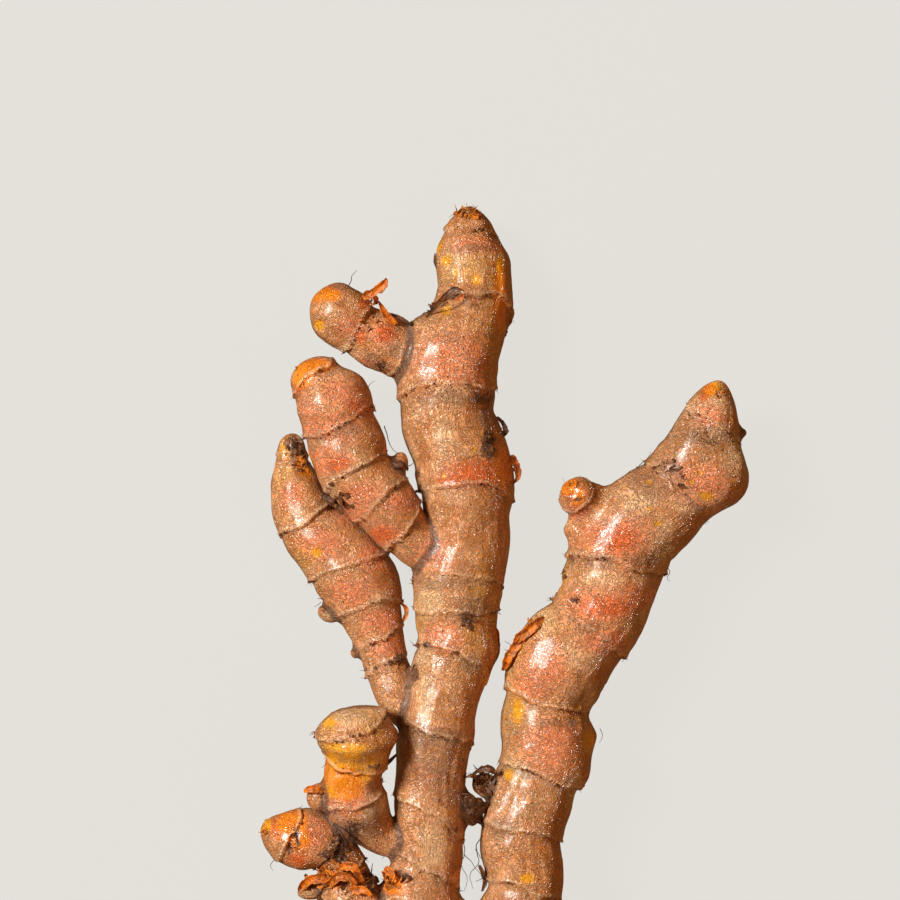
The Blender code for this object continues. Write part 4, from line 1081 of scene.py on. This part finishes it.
def flake(name, outline, curl, thickness):
    """A thin, curled, closed scrap, one unit long from its foot at the origin along +X."""
    mesh = bmesh.new()
    lower, upper = [], []
    for x, y in outline:
        z = curl * (x * x) + 0.5 * curl * y * y
        lower.append(mesh.verts.new((x, y, z)))
        upper.append(mesh.verts.new((x, y, z + thickness)))
    middle_low = mesh.verts.new((FLAKE_MIDDLE, 0.0, FLAKE_LIFT * curl - FLAKE_SAG))
    middle_high = mesh.verts.new((FLAKE_MIDDLE, 0.0, FLAKE_LIFT * curl + thickness))
    count = len(outline)
    for k in range(count):
        after = (k + 1) % count
        mesh.faces.new((lower[after], lower[k], middle_low))
        mesh.faces.new((upper[k], upper[after], middle_high))
        mesh.faces.new((lower[k], lower[after], upper[after], upper[k]))
    bmesh.ops.recalc_face_normals(mesh, faces=mesh.faces)
    data = bpy.data.meshes.new(name)
    mesh.to_mesh(data)
    mesh.free()
    return add_object(name, data)


PAPER_BUMP = 0.0001         # height of its fibres
PAPER_GLOW_DEPTH = 0.0004   # how deep light gets into it


def papery_material(name, colours, grain_size):
    """Dry leaf sheath: brown to orange, streaked with fibres, thin enough to glow a little."""
    material, bench, shader = new_material(name)
    place = bench.node("ShaderNodeTexCoord").outputs["Object"]
    broad = bench.grain(place, 500.0 / grain_size, 2.0)
    fine = bench.grain(place, 2600.0, 3.0, 0.7)
    colour = (broad + (fine - 0.5) * 0.5).step(0.38, 0.58).blend(colours[0], colours[1])
    colour = (fine + (broad - 0.5) * 0.6).step(0.58, 0.72).blend(colour, colours[2])
    bench.plug(shader, "Base Color", colour)
    bench.plug(shader, "Roughness", 0.55 + (fine - 0.5) * 0.5)
    bump = bench.node("ShaderNodeBump", Strength=0.8, Distance=PAPER_BUMP, Height=fine)
    bench.plug(shader, "Normal", bump.outputs[0])
    bench.plug(shader, "Subsurface Weight", 0.2)
    bench.plug(shader, "Subsurface Radius", (1.0, 0.3, 0.08))
    bench.plug(shader, "Subsurface Scale", PAPER_GLOW_DEPTH)
    return material


# Kinds of scrap, one unit long from its foot along +X: outline, curl, thickness
SCRAPS = {
    "torn": (
        ((-0.15, -0.3), (0.3, -0.42), (0.62, -0.2), (0.55, -0.02), (1.0, 0.1), (0.6, 0.3), (0.2, 0.36),
         (-0.15, 0.28)), 0.35, 0.09),
    "split": (
        ((-0.15, -0.22), (0.5, -0.3), (0.95, -0.28), (0.5, -0.08), (0.45, 0.06), (0.85, 0.22), (0.3, 0.3),
         (-0.15, 0.2)), -0.2, 0.08),
    "blunt": (
        ((-0.15, -0.4), (0.35, -0.5), (0.55, -0.25), (0.5, 0.2), (0.3, 0.45), (-0.15, 0.4)), 0.15, 0.10),
    "fibre": (
        ((-0.15, -0.05), (0.4, -0.07), (1.3, -0.02), (1.3, 0.02), (0.5, 0.04), (-0.15, 0.05)), 0.45, 0.06),
    "wisp": (
        ((-0.15, -0.04), (0.5, 0.03), (1.1, 0.16), (1.12, 0.20), (0.5, 0.11), (-0.15, 0.05)), 0.25, 0.06),
}


def scraps(*names):
    return [flake("scrap_" + name, *SCRAPS[name]) for name in names]


skin = skin_tree(rhizome)
fringe = strewn(
    "leaf_scar_fringe", ring_places(skin, FLAKE_STEP, FLAKE_GAPS, FLAKE_SEED), scraps(*SCRAPS),
    FLAKE_TURN, FLAKE_TILT, FLAKE_LENGTH, FLAKE_SEED, papery_material("dry_sheath", FLAKE_COLOURS, 1.0),
)
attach(fringe, "root")

# ---------------------------------------------------------------------------------------------
# Clusters of scraps: the shredded crowns left on the tips where leaves broke off, brown shreds
# over old scars and withered buds, and dark fuzz in the joints and on the corky bands.

# x, y, reach across, reach along, how many, shortest, longest, heading in degrees from +X
CLUSTERS = {
    "orange_crown": (
        (-6.5, 71.5, 2, 1, 60, 0.6, 1.5, 90), (11, 25.5, 1.5, 1, 22, 0.4, 0.9, 60),
        (36, 41, 0.5, 1, 12, 0.4, 0.9, 90), (-40.5, -32.5, 0.5, 1.5, 20, 0.4, 0.9, 180),
        (-33.5, 28.5, 1, 1.5, 14, 0.5, 1.1, 0), (-22.5, 56.5, 0.5, 0.5, 10, 0.6, 1.3, 40),
        (-31.5, 52.5, 0.5, 1, 10, 0.3, 0.6, 90), (-7.5, 57, 0.5, 0.5, 10, 0.3, 0.7, 60),
        (-19, -41, 1.5, 1.5, 22, 0.9, 2.0, 80), (-31, -41, 2.5, 1.5, 34, 1.2, 2.6, 70),
        (-26, -41, 2.5, 1.5, 30, 1.2, 2.6, 60), (-23.5, 52.5, 1.5, 1.5, 5, 0.6, 1.3, 20),
        (-1, 0, 0.5, 2.5, 8, 0.6, 1.2, 0), (1, 28.5, 0.5, 2, 10, 0.6, 1.2, 0),
        (4.5, 1.5, 1.5, 1, 12, 0.6, 1.2, 140), (1, -2, 1, 1.5, 12, 0.6, 1.3, 150),
        (13.5, -24.5, 0.5, 1.5, 6, 0.4, 0.8, 0), (-34, 45, 1.5, 1, 6, 0.4, 0.7, 100),
        (-27, -40.5, 7, 2.5, 14, 1.0, 2.2, 100)),
    "brown_scraps": (
        (-3, 32.5, 1, 2, 22, 0.5, 1.5, 80), (-6.5, 2.5, 1, 1.5, 20, 0.5, 1.2, 60),
        (27.5, 28.5, 2, 1, 18, 0.5, 1.3, 30), (29.5, 26.5, 0.5, 1.5, 12, 0.5, 1.2, -60),
        (-4, 40.5, 2, 1, 12, 0.4, 0.9, 90), (-9, 57, 1.5, 0.5, 10, 0.5, 1.2, 40),
        (-29.5, -37, 1.5, 1, 20, 0.6, 1.6, 0), (-21, 45.5, 1, 1, 10, 0.4, 0.8, 45),
        (12, 6, 0.5, 0.5, 7, 0.4, 0.9, 60), (-15.5, -6.5, 1, 1, 6, 0.4, 0.9, 30),
        (-18, -4, 1, 1, 8, 0.5, 1.0, 0), (-3.5, -25, 1.5, 1.5, 34, 0.8, 2.0, 110),
        (-6, -24, 1, 1, 18, 0.8, 1.6, 110), (-35.5, 31.5, 1.5, 1, 20, 0.5, 1.3, 95),
        (-28, 22.5, 2.5, 1.5, 20, 0.7, 1.8, 20), (-35, 28.5, 1.5, 1.5, 10, 0.6, 1.2, -30),
        (-4, -41.5, 1, 2, 20, 0.8, 2.0, -90), (-22.5, -40.5, 1, 1.5, 18, 0.8, 1.8, 80),
        (-32.5, -41, 1.5, 1.5, 12, 0.8, 2.0, 120), (-18, 28.5, 1.5, 1, 14, 0.4, 1.0, 70),
        (-6.5, 71.5, 2, 1, 16, 0.6, 1.4, 90), (-13, 55, 1, 1.5, 10, 0.6, 1.3, 220),
        (-12, 63.5, 0.5, 1.5, 5, 0.4, 0.8, 180), (-19, 55, 2.5, 1, 10, 0.5, 1.2, 25),
        (-26.5, -41.5, 7, 2, 18, 1.0, 2.2, 60), (-31, 5, 1, 1, 8, 0.5, 1.0, 180),
        (-22, -21, 1.5, 1, 6, 0.5, 1.2, 30), (-0.5, 34.5, 0.5, 1.5, 8, 0.6, 1.4, 0),
        (10, 11.5, 0.5, 2.5, 8, 0.5, 1.0, 180), (22.5, 28.5, 1.5, 1, 5, 0.4, 0.9, 120)),
    "dark_fuzz": (
        (-28, -35, 1.5, 2.5, 70, 0.5, 1.3, 0), (-35.5, -34, 0.5, 2.5, 36, 0.5, 1.2, 60),
        (11, 23.5, 1.5, 0.5, 16, 0.3, 0.6, -90), (-25.5, -31.5, 1.5, 1, 24, 0.5, 1.1, -40),
        (-3, 32.5, 1, 1.5, 16, 0.4, 1.0, 70), (-9, 41.5, 5, 0.5, 22, 0.3, 0.7, -90),
        (33, 34, 3.5, 1.5, 26, 0.3, 0.8, -60), (-6, 71, 2, 0.5, 20, 0.4, 0.9, 90),
        (-3.5, -25.5, 1.5, 1.5, 20, 0.5, 1.2, 90), (-11.5, -16.5, 6, 1, 30, 0.3, 0.8, -90),
        (-9, -27.5, 4, 2, 26, 0.3, 0.8, -50), (-24, -5, 1.5, 1.5, 12, 0.4, 0.9, 0),
        (-27, -38, 3.5, 1, 20, 0.5, 1.2, 0), (15.5, 19, 4, 2, 14, 0.3, 0.6, -70),
        (-6.5, 4.5, 2.5, 1, 18, 0.3, 0.7, -90), (-9.5, -20.5, 4.5, 3, 14, 0.2, 0.5, -90)),
}
CLUSTER_COLOURS = {
    "orange_crown": ((0.80, 0.24, 0.012, 1.0), (0.24, 0.060, 0.008, 1.0), (0.95, 0.45, 0.09, 1.0)),
    "brown_scraps": ((0.20, 0.065, 0.016, 1.0), (0.05, 0.017, 0.005, 1.0), (0.50, 0.22, 0.075, 1.0)),
    "dark_fuzz": ((0.09, 0.032, 0.010, 1.0), (0.026, 0.010, 0.004, 1.0), (0.26, 0.11, 0.04, 1.0)),
}
CLUSTER_TILT = {"orange_crown": 1.0, "brown_scraps": 0.55, "dark_fuzz": 0.5}
CLUSTER_TURN = {"orange_crown": 1.3, "brown_scraps": 1.0, "dark_fuzz": 2.2}
CLUSTER_SPREAD = (0.9, 1.1)   # smallest and largest share of its own length that a scrap gets
CLUSTER_LOWEST = 0.8          # nearest to the table that one grows
ABOVE_ALL = 60.0              # height from which places are looked for, straight down


def cluster_places(tree, clusters, seed):
    """Places strewn over the upper side within each cluster: point, outward, heading, length."""
    random = np.random.default_rng(seed)
    places = []
    for x, y, across, lengthwise, count, shortest, longest, heading in clusters:
        way = Vector((np.cos(np.radians(heading)), np.sin(np.radians(heading)), 0.0))
        for _ in range(count):
            swing, reach = 2.0 * np.pi * random.random(), np.sqrt(random.random())
            offset = np.array([across * np.cos(swing), lengthwise * np.sin(swing), 0.0]) * reach
            spot = np.array([x, y, ABOVE_ALL]) + offset
            length = shortest + (longest - shortest) * random.random() ** 2
            near, normal, _, _ = tree.ray_cast(Vector((spot - middle) * MM), Vector((0.0, 0.0, -1.0)))
            if near is not None and near.z > CLUSTER_LOWEST * MM:
                places.append((near, normal, way, length))
    return places


for number, (name, clusters) in enumerate(CLUSTERS.items()):
    kinds = ("fibre", "wisp") if name == "dark_fuzz" else SCRAPS
    piece = strewn(
        name, cluster_places(skin, clusters, number), scraps(*kinds), CLUSTER_TURN[name], CLUSTER_TILT[name],
        CLUSTER_SPREAD, number, papery_material(name, CLUSTER_COLOURS[name], 0.5),
    )
    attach(piece, "root")

# ---------------------------------------------------------------------------------------------
# Leaf-base scales: the larger scraps of leaf sheath and torn skin that stand off the rhizome, most
# of them on the knob, along the edges of the fingers and where the old stems were cut away. They
# are thin orange flesh or dry brown paper, curled, and still joined to the skin along one end.

SCALE_THICKNESS = 0.16
SCALE_STEP = 0.28         # length of a face along a scale
SCALE_FACES = 6           # faces across a scale
SCALE_TEETH = 0.35        # how ragged the edges are, as a share of the half width
SCALE_WARP = 0.35         # how far it is crumpled out of its sheet, as a share of the same
SCALE_CRUMPLES = (0.5, 1.6)   # length of a crumple along a scale, and crumples across its half
SCALES_APART = 3.7        # how far apart the noise of scales is drawn
SCALE_COLOURS = {
    "orange": ((0.85, 0.22, 0.010, 1.0), (0.30, 0.060, 0.006, 1.0), (0.95, 0.42, 0.06, 1.0)),
    "brown": ((0.16, 0.050, 0.012, 1.0), (0.035, 0.012, 0.004, 1.0), (0.42, 0.17, 0.05, 1.0)),
    "tan": ((0.66, 0.26, 0.07, 1.0), (0.36, 0.11, 0.02, 1.0), (0.95, 0.60, 0.32, 1.0)),
}

# Kind, how far the edges cup upwards, and places along the middle as (x, y, z, half width)
SCALES = {
    "knob_curl": ("orange", 0.8, ((-24, 57, 15, 0.3), (-23, 57.5, 16.5, 0.8), (-22, 58, 17, 0.7),
        (-20.5, 59, 17.5, 0.8), (-20, 60, 17.5, 0.3))),
    "knob_curl_stalk": ("orange", 0.3, ((-22, 56, 13.5, 0.4), (-22, 57, 15.5, 0.4), (-22.5, 57.5, 17, 0.3))),
    "knob_spike": ("orange", 0.6, ((-18.5, 52.5, 13, 0.4), (-20, 54, 13.5, 0.6), (-21, 55.5, 14, 0.4),
        (-21.5, 56.5, 14.5, 0.1))),
    "knob_ridge": ("brown", 0.3, ((-20, 54.5, 12, 0.2), (-18.5, 54, 12.5, 0.3), (-17.5, 53.5, 12.5, 0.3),
        (-16, 52.5, 12.5, 0.2))),
    "second_bud_cuff": ("brown", 0.4, ((-19.5, 28, 14.5, 0.3), (-18.5, 29, 15.5, 0.5),
        (-17.5, 29, 15.5, 0.6), (-16.5, 28, 14.5, 0.3))),
    "central_edge_upper": ("brown", 0.4, ((-1.5, 37, 10.5, 0.2), (-0.5, 36, 10, 0.4), (0, 34.5, 10, 0.5),
        (-1, 33, 10, 0.2))),
    "central_edge_orange": ("orange", 0.5, ((1, 30.5, 11, 0.3), (1.5, 29.5, 11, 0.6), (2, 28, 11, 0.6),
        (2, 26.5, 11, 0.4), (1, 25.5, 11, 0.2))),
    "central_edge_lower": ("orange", 0.5, ((-2, 1.5, 11.5, 0.2), (-1.5, 0.5, 11.5, 0.4),
        (-1.5, -1, 11.5, 0.5), (-1.5, -2.5, 11, 0.4), (-2.5, -3.5, 11, 0.2))),
    "central_left_nick": ("brown", 0.2, ((-12, 65, 7.5, 0.1), (-12, 63.5, 7.5, 0.3), (-11.5, 62, 7.5, 0.1))),
    "hollow_brow": ("brown", 0.5, ((-13.5, 53.5, 10, 0.2), (-12.5, 55, 12.5, 0.3), (-11, 56.5, 15, 0.4),
        (-10, 57.5, 16.5, 0.4), (-8.5, 58.5, 17, 0.3), (-7, 58, 17, 0.1))),
    "hollow_crumb": ("orange", 0.3, ((-8.5, 56.5, 16.5, 0.3), (-7.5, 57, 17, 0.4), (-7, 57.5, 17, 0.2))),
    "right_crust_upper": ("orange", 0.6, ((6.5, 3, 13, 0.4), (5, 2, 14, 0.8), (3.5, 0.5, 14, 0.9),
        (2, -0.5, 13, 0.7), (1.5, -1.5, 12.5, 0.3))),
    "right_crust_lower": ("orange", 0.6, ((3, -0.5, 13, 0.4), (1.5, -2, 13, 0.8), (0.5, -3.5, 13, 0.8),
        (0, -5, 12, 0.6), (-0.5, -6, 11, 0.2))),
    "stub_edge": ("brown", 0.5, ((-18.5, -20, 14, 0.2), (-19.5, -21, 13.5, 0.3), (-20.5, -22, 13.5, 0.4),
        (-21.5, -23, 13.5, 0.1))),
    "stub_nub_crack": ("orange", 0.5, ((-34, -26, 16, 0.3), (-33, -25.5, 17, 0.6), (-32, -25.5, 17, 0.7),
        (-30.5, -26, 16.5, 0.3))),
    "lower_finger_flap": ("orange", 0.5, ((-18, 5.5, 9, 0.2), (-17, 4.5, 9, 0.4), (-17, 3, 9, 0.4),
        (-17.5, 2, 9, 0.2))),
    "lower_finger_papery": ("brown", 0.6, ((-31, 23.5, 13, 0.3), (-30, 23, 14, 0.6), (-28.5, 22, 14, 0.6),
        (-27.5, 20.5, 14, 0.2))),
    "lower_finger_crumple": ("tan", 0.5, ((-29, 24.5, 12.5, 0.2), (-28, 23, 13.5, 0.4),
        (-26.5, 22, 13.5, 0.4), (-25.5, 21, 13, 0.2))),
    "curled_bud_cuff": ("brown", 0.6, ((-5.5, -23.5, 12, 0.2), (-4, -22.5, 13, 0.5), (-2.5, -22.5, 13.5, 0.6),
        (-1.5, -23.5, 13, 0.3))),
    "curled_bud_flap": ("brown", 0.5, ((-4, -25.5, 12, 0.3), (-3, -26.5, 12.5, 0.5), (-2.5, -28, 12, 0.4),
        (-3, -29.5, 12, 0.1))),
    "central_bud_flap": ("brown", 0.4, ((-7, -24, 13.5, 0.2), (-6, -23.5, 14, 0.4), (-5, -24, 13.5, 0.4),
        (-5, -25, 12.5, 0.2))),
    "central_bud_hood": ("brown", 0.5, ((-8.5, -27, 14, 0.4), (-7, -27.5, 14, 1.1), (-5, -28.5, 13.5, 1.3),
        (-3.5, -29.5, 12, 0.8), (-3, -30, 11, 0.2))),
    "central_bud_wing": ("brown", 0.5, ((-8, -30.5, 14, 0.4), (-6, -31, 13.5, 1.0), (-4.5, -31, 12, 0.9),
        (-4, -31.5, 11, 0.2))),
    "right_foot_flap": ("brown", 0.4, ((-4.5, -39, 11.5, 0.2), (-4, -40, 11.5, 0.4), (-3.5, -42, 11, 0.4),
        (-4, -43.5, 11, 0.2))),
    "central_foot_curl": ("orange", 0.7, ((-20.5, -40.5, 15.5, 0.3), (-20, -39, 17, 0.6),
        (-19, -40, 17.5, 0.6), (-19.5, -41.5, 17, 0.4))),
    "central_foot_tear": ("brown", 0.5, ((-18, -39, 18, 0.3), (-17, -40, 18.5, 0.5), (-17.5, -41, 18, 0.4))),
    "shred_one": ("orange", 0.8, ((-35, -44, 10.5, 0.3), (-34, -42, 12.5, 0.7), (-32.5, -41, 14, 0.8),
        (-30.5, -41, 14.5, 0.6), (-29.5, -42, 14.5, 0.2))),
    "shred_two": ("orange", 0.8, ((-30.5, -43, 13.5, 0.4), (-29.5, -41.5, 15.5, 0.7), (-27.5, -40, 17, 0.8),
        (-26, -40.5, 17, 0.6), (-25, -41.5, 17, 0.3))),
    "shred_three": ("orange", 0.7, ((-28.5, -39.5, 15.5, 0.3), (-27, -38.5, 17, 0.7), (-25.5, -38.5, 18, 0.7),
        (-24.5, -40, 17.5, 0.4), (-24, -41, 17, 0.2))),
    "shred_four": ("brown", 0.6, ((-32, -44.5, 12.5, 0.3), (-30.5, -43.5, 14, 0.8), (-28.5, -43, 15, 0.8),
        (-26.5, -43.5, 15, 0.6))),
    "shred_five": ("brown", 0.5, ((-34, -40.5, 12, 0.2), (-33.5, -41, 12.5, 0.4), (-33, -42.5, 12.5, 0.3),
        (-32.5, -44, 12, 0.1))),
    "shred_six": ("orange", 0.6, ((-27, -44, 15, 0.4), (-25.5, -42.5, 16.5, 0.7), (-23.5, -42.5, 17, 0.6),
        (-22.5, -43.5, 17, 0.3))),
    "shred_seven": ("brown", 0.5, ((-23.5, -39.5, 15, 0.2), (-22.5, -40.5, 15.5, 0.4),
        (-22.5, -42, 15.5, 0.4), (-21.5, -43.5, 15, 0.2))),
    "bulb_flap": ("brown", 0.6, ((-29, -31.5, 16, 0.3), (-27.5, -32.5, 17, 0.5), (-26.5, -34, 17, 0.6),
        (-26, -36, 16, 0.4))),
}


def scale_sheet(cup, stations, seed):
    """Corners of a curled scrap: rows along it, columns across it, and the thin way through it."""
    stations = np.array(stations)
    length = distances_of(stations)[-1]
    distance = np.linspace(0.0, length, max(4, round(length / SCALE_STEP)) + 1)
    centre, half, sideways, upward, _ = sections_at(stations, distance)
    across = np.linspace(-1.0, 1.0, SCALE_FACES + 1)
    along_it, across_it = np.meshgrid(
        distance / SCALE_CRUMPLES[0], across * SCALE_CRUMPLES[1], indexing="ij"
    )
    grain = grain_at(np.stack([along_it, across_it, np.full_like(along_it, seed * SCALES_APART)], axis=-1))
    width = half[:, None] * across * (1.0 + SCALE_TEETH * grain * np.abs(across))
    lift = cup * half[:, None] * across**2 + SCALE_WARP * half[:, None] * grain
    return centre[:, None] + sideways[:, None] * width[..., None] + upward[:, None] * lift[..., None], upward


def add_scale(mesh, cup, stations, seed):
    """Adds one closed scrap to a growing mesh."""
    sheet, upward = scale_sheet(cup, stations, seed)
    rows, columns = sheet.shape[:2]
    sides = []
    for lift in (-0.5, 0.5):
        points = sheet + upward[:, None] * SCALE_THICKNESS * lift
        sides.append([[mesh.verts.new((point - middle) * MM) for point in row] for row in points])
    lower, upper = sides
    for i in range(rows - 1):
        for k in range(columns - 1):
            mesh.faces.new((lower[i][k], lower[i + 1][k], lower[i + 1][k + 1], lower[i][k + 1]))
            mesh.faces.new((upper[i][k], upper[i][k + 1], upper[i + 1][k + 1], upper[i + 1][k]))
    edge = [(i, 0) for i in range(rows)] + [(rows - 1, k) for k in range(1, columns)]
    edge += [(i, columns - 1) for i in range(rows - 2, -1, -1)] + [(0, k) for k in range(columns - 2, 0, -1)]
    for (a, b), (c, d) in zip(edge, edge[1:] + edge[:1]):
        mesh.faces.new((lower[a][b], upper[a][b], upper[c][d], lower[c][d]))


for kind, colours in SCALE_COLOURS.items():
    mesh = bmesh.new()
    for number, (its_kind, cup, stations) in enumerate(SCALES.values()):
        if its_kind == kind:
            add_scale(mesh, cup, stations, number)
    bmesh.ops.recalc_face_normals(mesh, faces=mesh.faces)
    data = bpy.data.meshes.new("scales_" + kind)
    mesh.to_mesh(data)
    mesh.free()
    piece = add_object("scales_" + kind, data)
    data.shade_smooth()
    data.materials.append(papery_material("sheath_" + kind, colours, 0.6))
    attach(piece, "root")

# ---------------------------------------------------------------------------------------------
# Root hairs: the last thin, dry, dark roots and hairs, growing out of the skin between fingers.

HAIR_COLOUR = (0.045, 0.016, 0.006, 1.0)
HAIR_PALE = (0.16, 0.06, 0.02, 1.0)
HAIR_SIDES = 5
HAIR_STEP = 0.5      # length of a face along a hair
HAIR_WAVER = 0.22    # how far a hair wavers, and over what length
HAIR_WAVE = 1.3
HAIR_TAPER = 0.6     # share of its thickness lost by its end
AXES_APART = (0.0, 9.0, 18.0)   # how far apart the noise of its three directions is drawn

# Thickness at the foot, and places along the hair as (x, y, z)
HAIRS = (
    (0.09, ((-26.5, 59, 15), (-26, 60, 16.5), (-25.5, 61, 17.5), (-25, 61.5, 18))),
    (0.07, ((-23.5, 42, 12), (-23, 42.5, 13), (-22, 43, 13.5))),
    (0.10, ((-20.5, 35.5, 12), (-20, 33.5, 13), (-19.5, 32, 13), (-18, 30.5, 13))),
    (0.08, ((-17, 28.5, 14), (-16, 29, 14), (-15, 30, 14))),
    (0.08, ((-17.5, 27.5, 13), (-16.5, 26, 12), (-16, 24.5, 11))),
    (0.08, ((27.5, 11.5, 9.5), (28, 10.5, 9), (27.5, 9.5, 9), (28, 9, 9))),
    (0.09, ((22.5, 28.5, 11), (24, 30, 12), (24.5, 31, 12.5))),
    (0.08, ((-23, -35.5, 11), (-21.5, -36.5, 11), (-20, -37, 11), (-19, -38, 10.5))),
    (0.08, ((-7, -34.5, 12), (-7, -37.5, 10), (-7.5, -39.5, 8), (-6.5, -42, 6), (-7, -44.5, 4))),
    (0.09, ((-4, -34, 12), (-5, -36.5, 10), (-4.5, -39, 8), (-6, -41.5, 6), (-5.5, -44, 4))),
    (0.07, ((-5, -36.5, 10), (-4, -38.5, 8.5), (-3, -39.5, 8))),
    (0.07, ((-7, -37.5, 10), (-6, -38.5, 9), (-5, -40, 8), (-4, -42, 7))),
    (0.08, ((-21.5, -35, 9), (-20.5, -37, 8), (-21, -38.5, 7))),
    (0.07, ((-8, 71, 7.5), (-8.5, 71.5, 8), (-9, 71.5, 8.5), (-9.5, 71, 8.5))),
    (0.07, ((-31.5, 5.5, 8.5), (-32, 5, 8.5), (-32.5, 4.5, 8.5))),
    (0.07, ((16, -16, 9.5), (16.5, -17, 9.5), (16, -18.5, 9))),
    (0.07, ((-39, -38, 12), (-40, -39, 11.5), (-39.5, -40, 11))),
    (0.06, ((-17.5, -5, 12), (-17, -6, 12.5), (-16, -7, 12.5))),
)


def hair_tree():
    """Sweeps a thin round section along every line of the carrier mesh."""
    bench, given, sockets = new_tree("root_hairs", Sides="Int", Material="Material")
    thickness = bench.node("GeometryNodeInputNamedAttribute", {"data_type": "FLOAT"}, Name="thickness")
    lines = bench.node("GeometryNodeMeshToCurve", Mesh=given.outputs["Geometry"])
    ring = bench.node("GeometryNodeCurvePrimitiveCircle", Resolution=given.outputs["Sides"], Radius=1.0)
    swept = bench.node(
        "GeometryNodeCurveToMesh", Curve=lines.outputs[0], Profile_Curve=ring.outputs[0],
        Scale=thickness.outputs[0], Fill_Caps=True,
    )
    finish_tree(bench, given, swept.outputs[0])
    return bench, sockets


def hair_line(thickness, stations, seed):
    """Finer places along a hair with a slight waver, and its thickness at each."""
    stations = np.array([(*place, 0.0) for place in stations])
    length = distances_of(stations)[-1]
    distance = np.linspace(0.0, length, max(4, round(length / HAIR_STEP)) + 1)
    places = along(stations, distance)[:, :3]
    waver = [grain_at(places / HAIR_WAVE + seed + offset) for offset in AXES_APART]
    return places + HAIR_WAVER * np.stack(waver, axis=1), thickness * (1.0 - HAIR_TAPER * distance / length)


def hair_material():
    material, bench, shader = new_material("root_hair")
    fine = bench.grain(bench.node("ShaderNodeTexCoord").outputs["Object"], 2500.0)
    bench.plug(shader, "Base Color", fine.blend(HAIR_COLOUR, HAIR_PALE))
    bench.plug(shader, "Roughness", 0.55 + (fine - 0.5) * 0.3)
    return material


lines, widths, joints = [], [], []
for seed, (thickness, stations) in enumerate(HAIRS):
    places, width = hair_line(thickness, stations, seed)
    start = sum(len(line) for line in lines)
    joints += [(start + k, start + k + 1) for k in range(len(places) - 1)]
    lines.append(places)
    widths.append(width)
data = bpy.data.meshes.new("root_hairs")
data.from_pydata((np.concatenate(lines) - middle) * MM, joints, [])
keep(data, "thickness", np.concatenate(widths) * MM)
hairs = add_object("root_hairs", data)
run_tree(hairs, *hair_tree(), Sides=HAIR_SIDES, Material=hair_material())
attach(hairs, "root")

# ---------------------------------------------------------------------------------------------
# The studio: a pale table that glows evenly and so takes no shadow, a soft light from the tip end's
# left, a weak warm one opposite and a weak warm sky. The camera looks straight down at the rhizome.

TABLE_COLOUR = (0.008, 0.008, 0.008, 1.0)
TABLE_GLOW = (0.743, 0.720, 0.678, 1.0)
TABLE_GLOW_STRENGTH = 1.0
TABLE_ROUGHNESS = 0.9
TABLE_HALF = 1.5
KEY_COLOUR = (1.0, 0.98, 0.94)
FILL_COLOUR = (1.0, 0.58, 0.28)
SKY_COLOUR = (1.0, 0.52, 0.20, 1.0)
SKY_STRENGTH = 0.15
CAMERA_PLACE = (-0.0094, 0.0317, 0.520)
LENS = 120.0
SENSOR_WIDTH = 36.0

table_corners = [(x * TABLE_HALF, y * TABLE_HALF, 0.0) for x, y in ((-1, -1), (1, -1), (1, 1), (-1, 1))]
table = add_object("table", bpy.data.meshes.new("table"))
table.data.from_pydata(table_corners, [], [(0, 1, 2, 3)])
table_finish, table_bench, table_shader = new_material("table_matt")
table_bench.plug(table_shader, "Base Color", TABLE_COLOUR)
table_bench.plug(table_shader, "Roughness", TABLE_ROUGHNESS)
table_bench.plug(table_shader, "Emission Color", TABLE_GLOW)
table_bench.plug(table_shader, "Emission Strength", TABLE_GLOW_STRENGTH)
table.data.materials.append(table_finish)
# The bright table lights the object neither directly nor in its shine.
table.visible_glossy = False
table.visible_diffuse = False


def soft_light(name, place, size, power, colour):
    light = bpy.data.lights.new(name, "AREA")
    light.shape = "DISK"
    light.size = size
    light.energy = power
    light.color = colour
    obj = add_object(name, light)
    obj.location = place
    obj.rotation_euler = (-Vector(place)).to_track_quat("-Z", "Y").to_euler()


soft_light("key_light", (-0.88, 0.44, 0.92), size=0.42, power=24.0, colour=KEY_COLOUR)
soft_light("fill_light", (0.85, -0.45, 0.9), size=0.9, power=2.6, colour=FILL_COLOUR)

world = bpy.data.worlds.new("studio")
world.use_nodes = True
sky = world.node_tree.nodes["Background"].inputs
sky["Color"].default_value = SKY_COLOUR
sky["Strength"].default_value = SKY_STRENGTH
bpy.context.scene.world = world

camera = add_object("camera", bpy.data.cameras.new("camera"))
camera.data.lens = LENS
camera.data.sensor_width = SENSOR_WIDTH
camera.location = CAMERA_PLACE
bpy.context.scene.camera = camera
bpy.context.scene.view_settings.view_transform = "Standard"
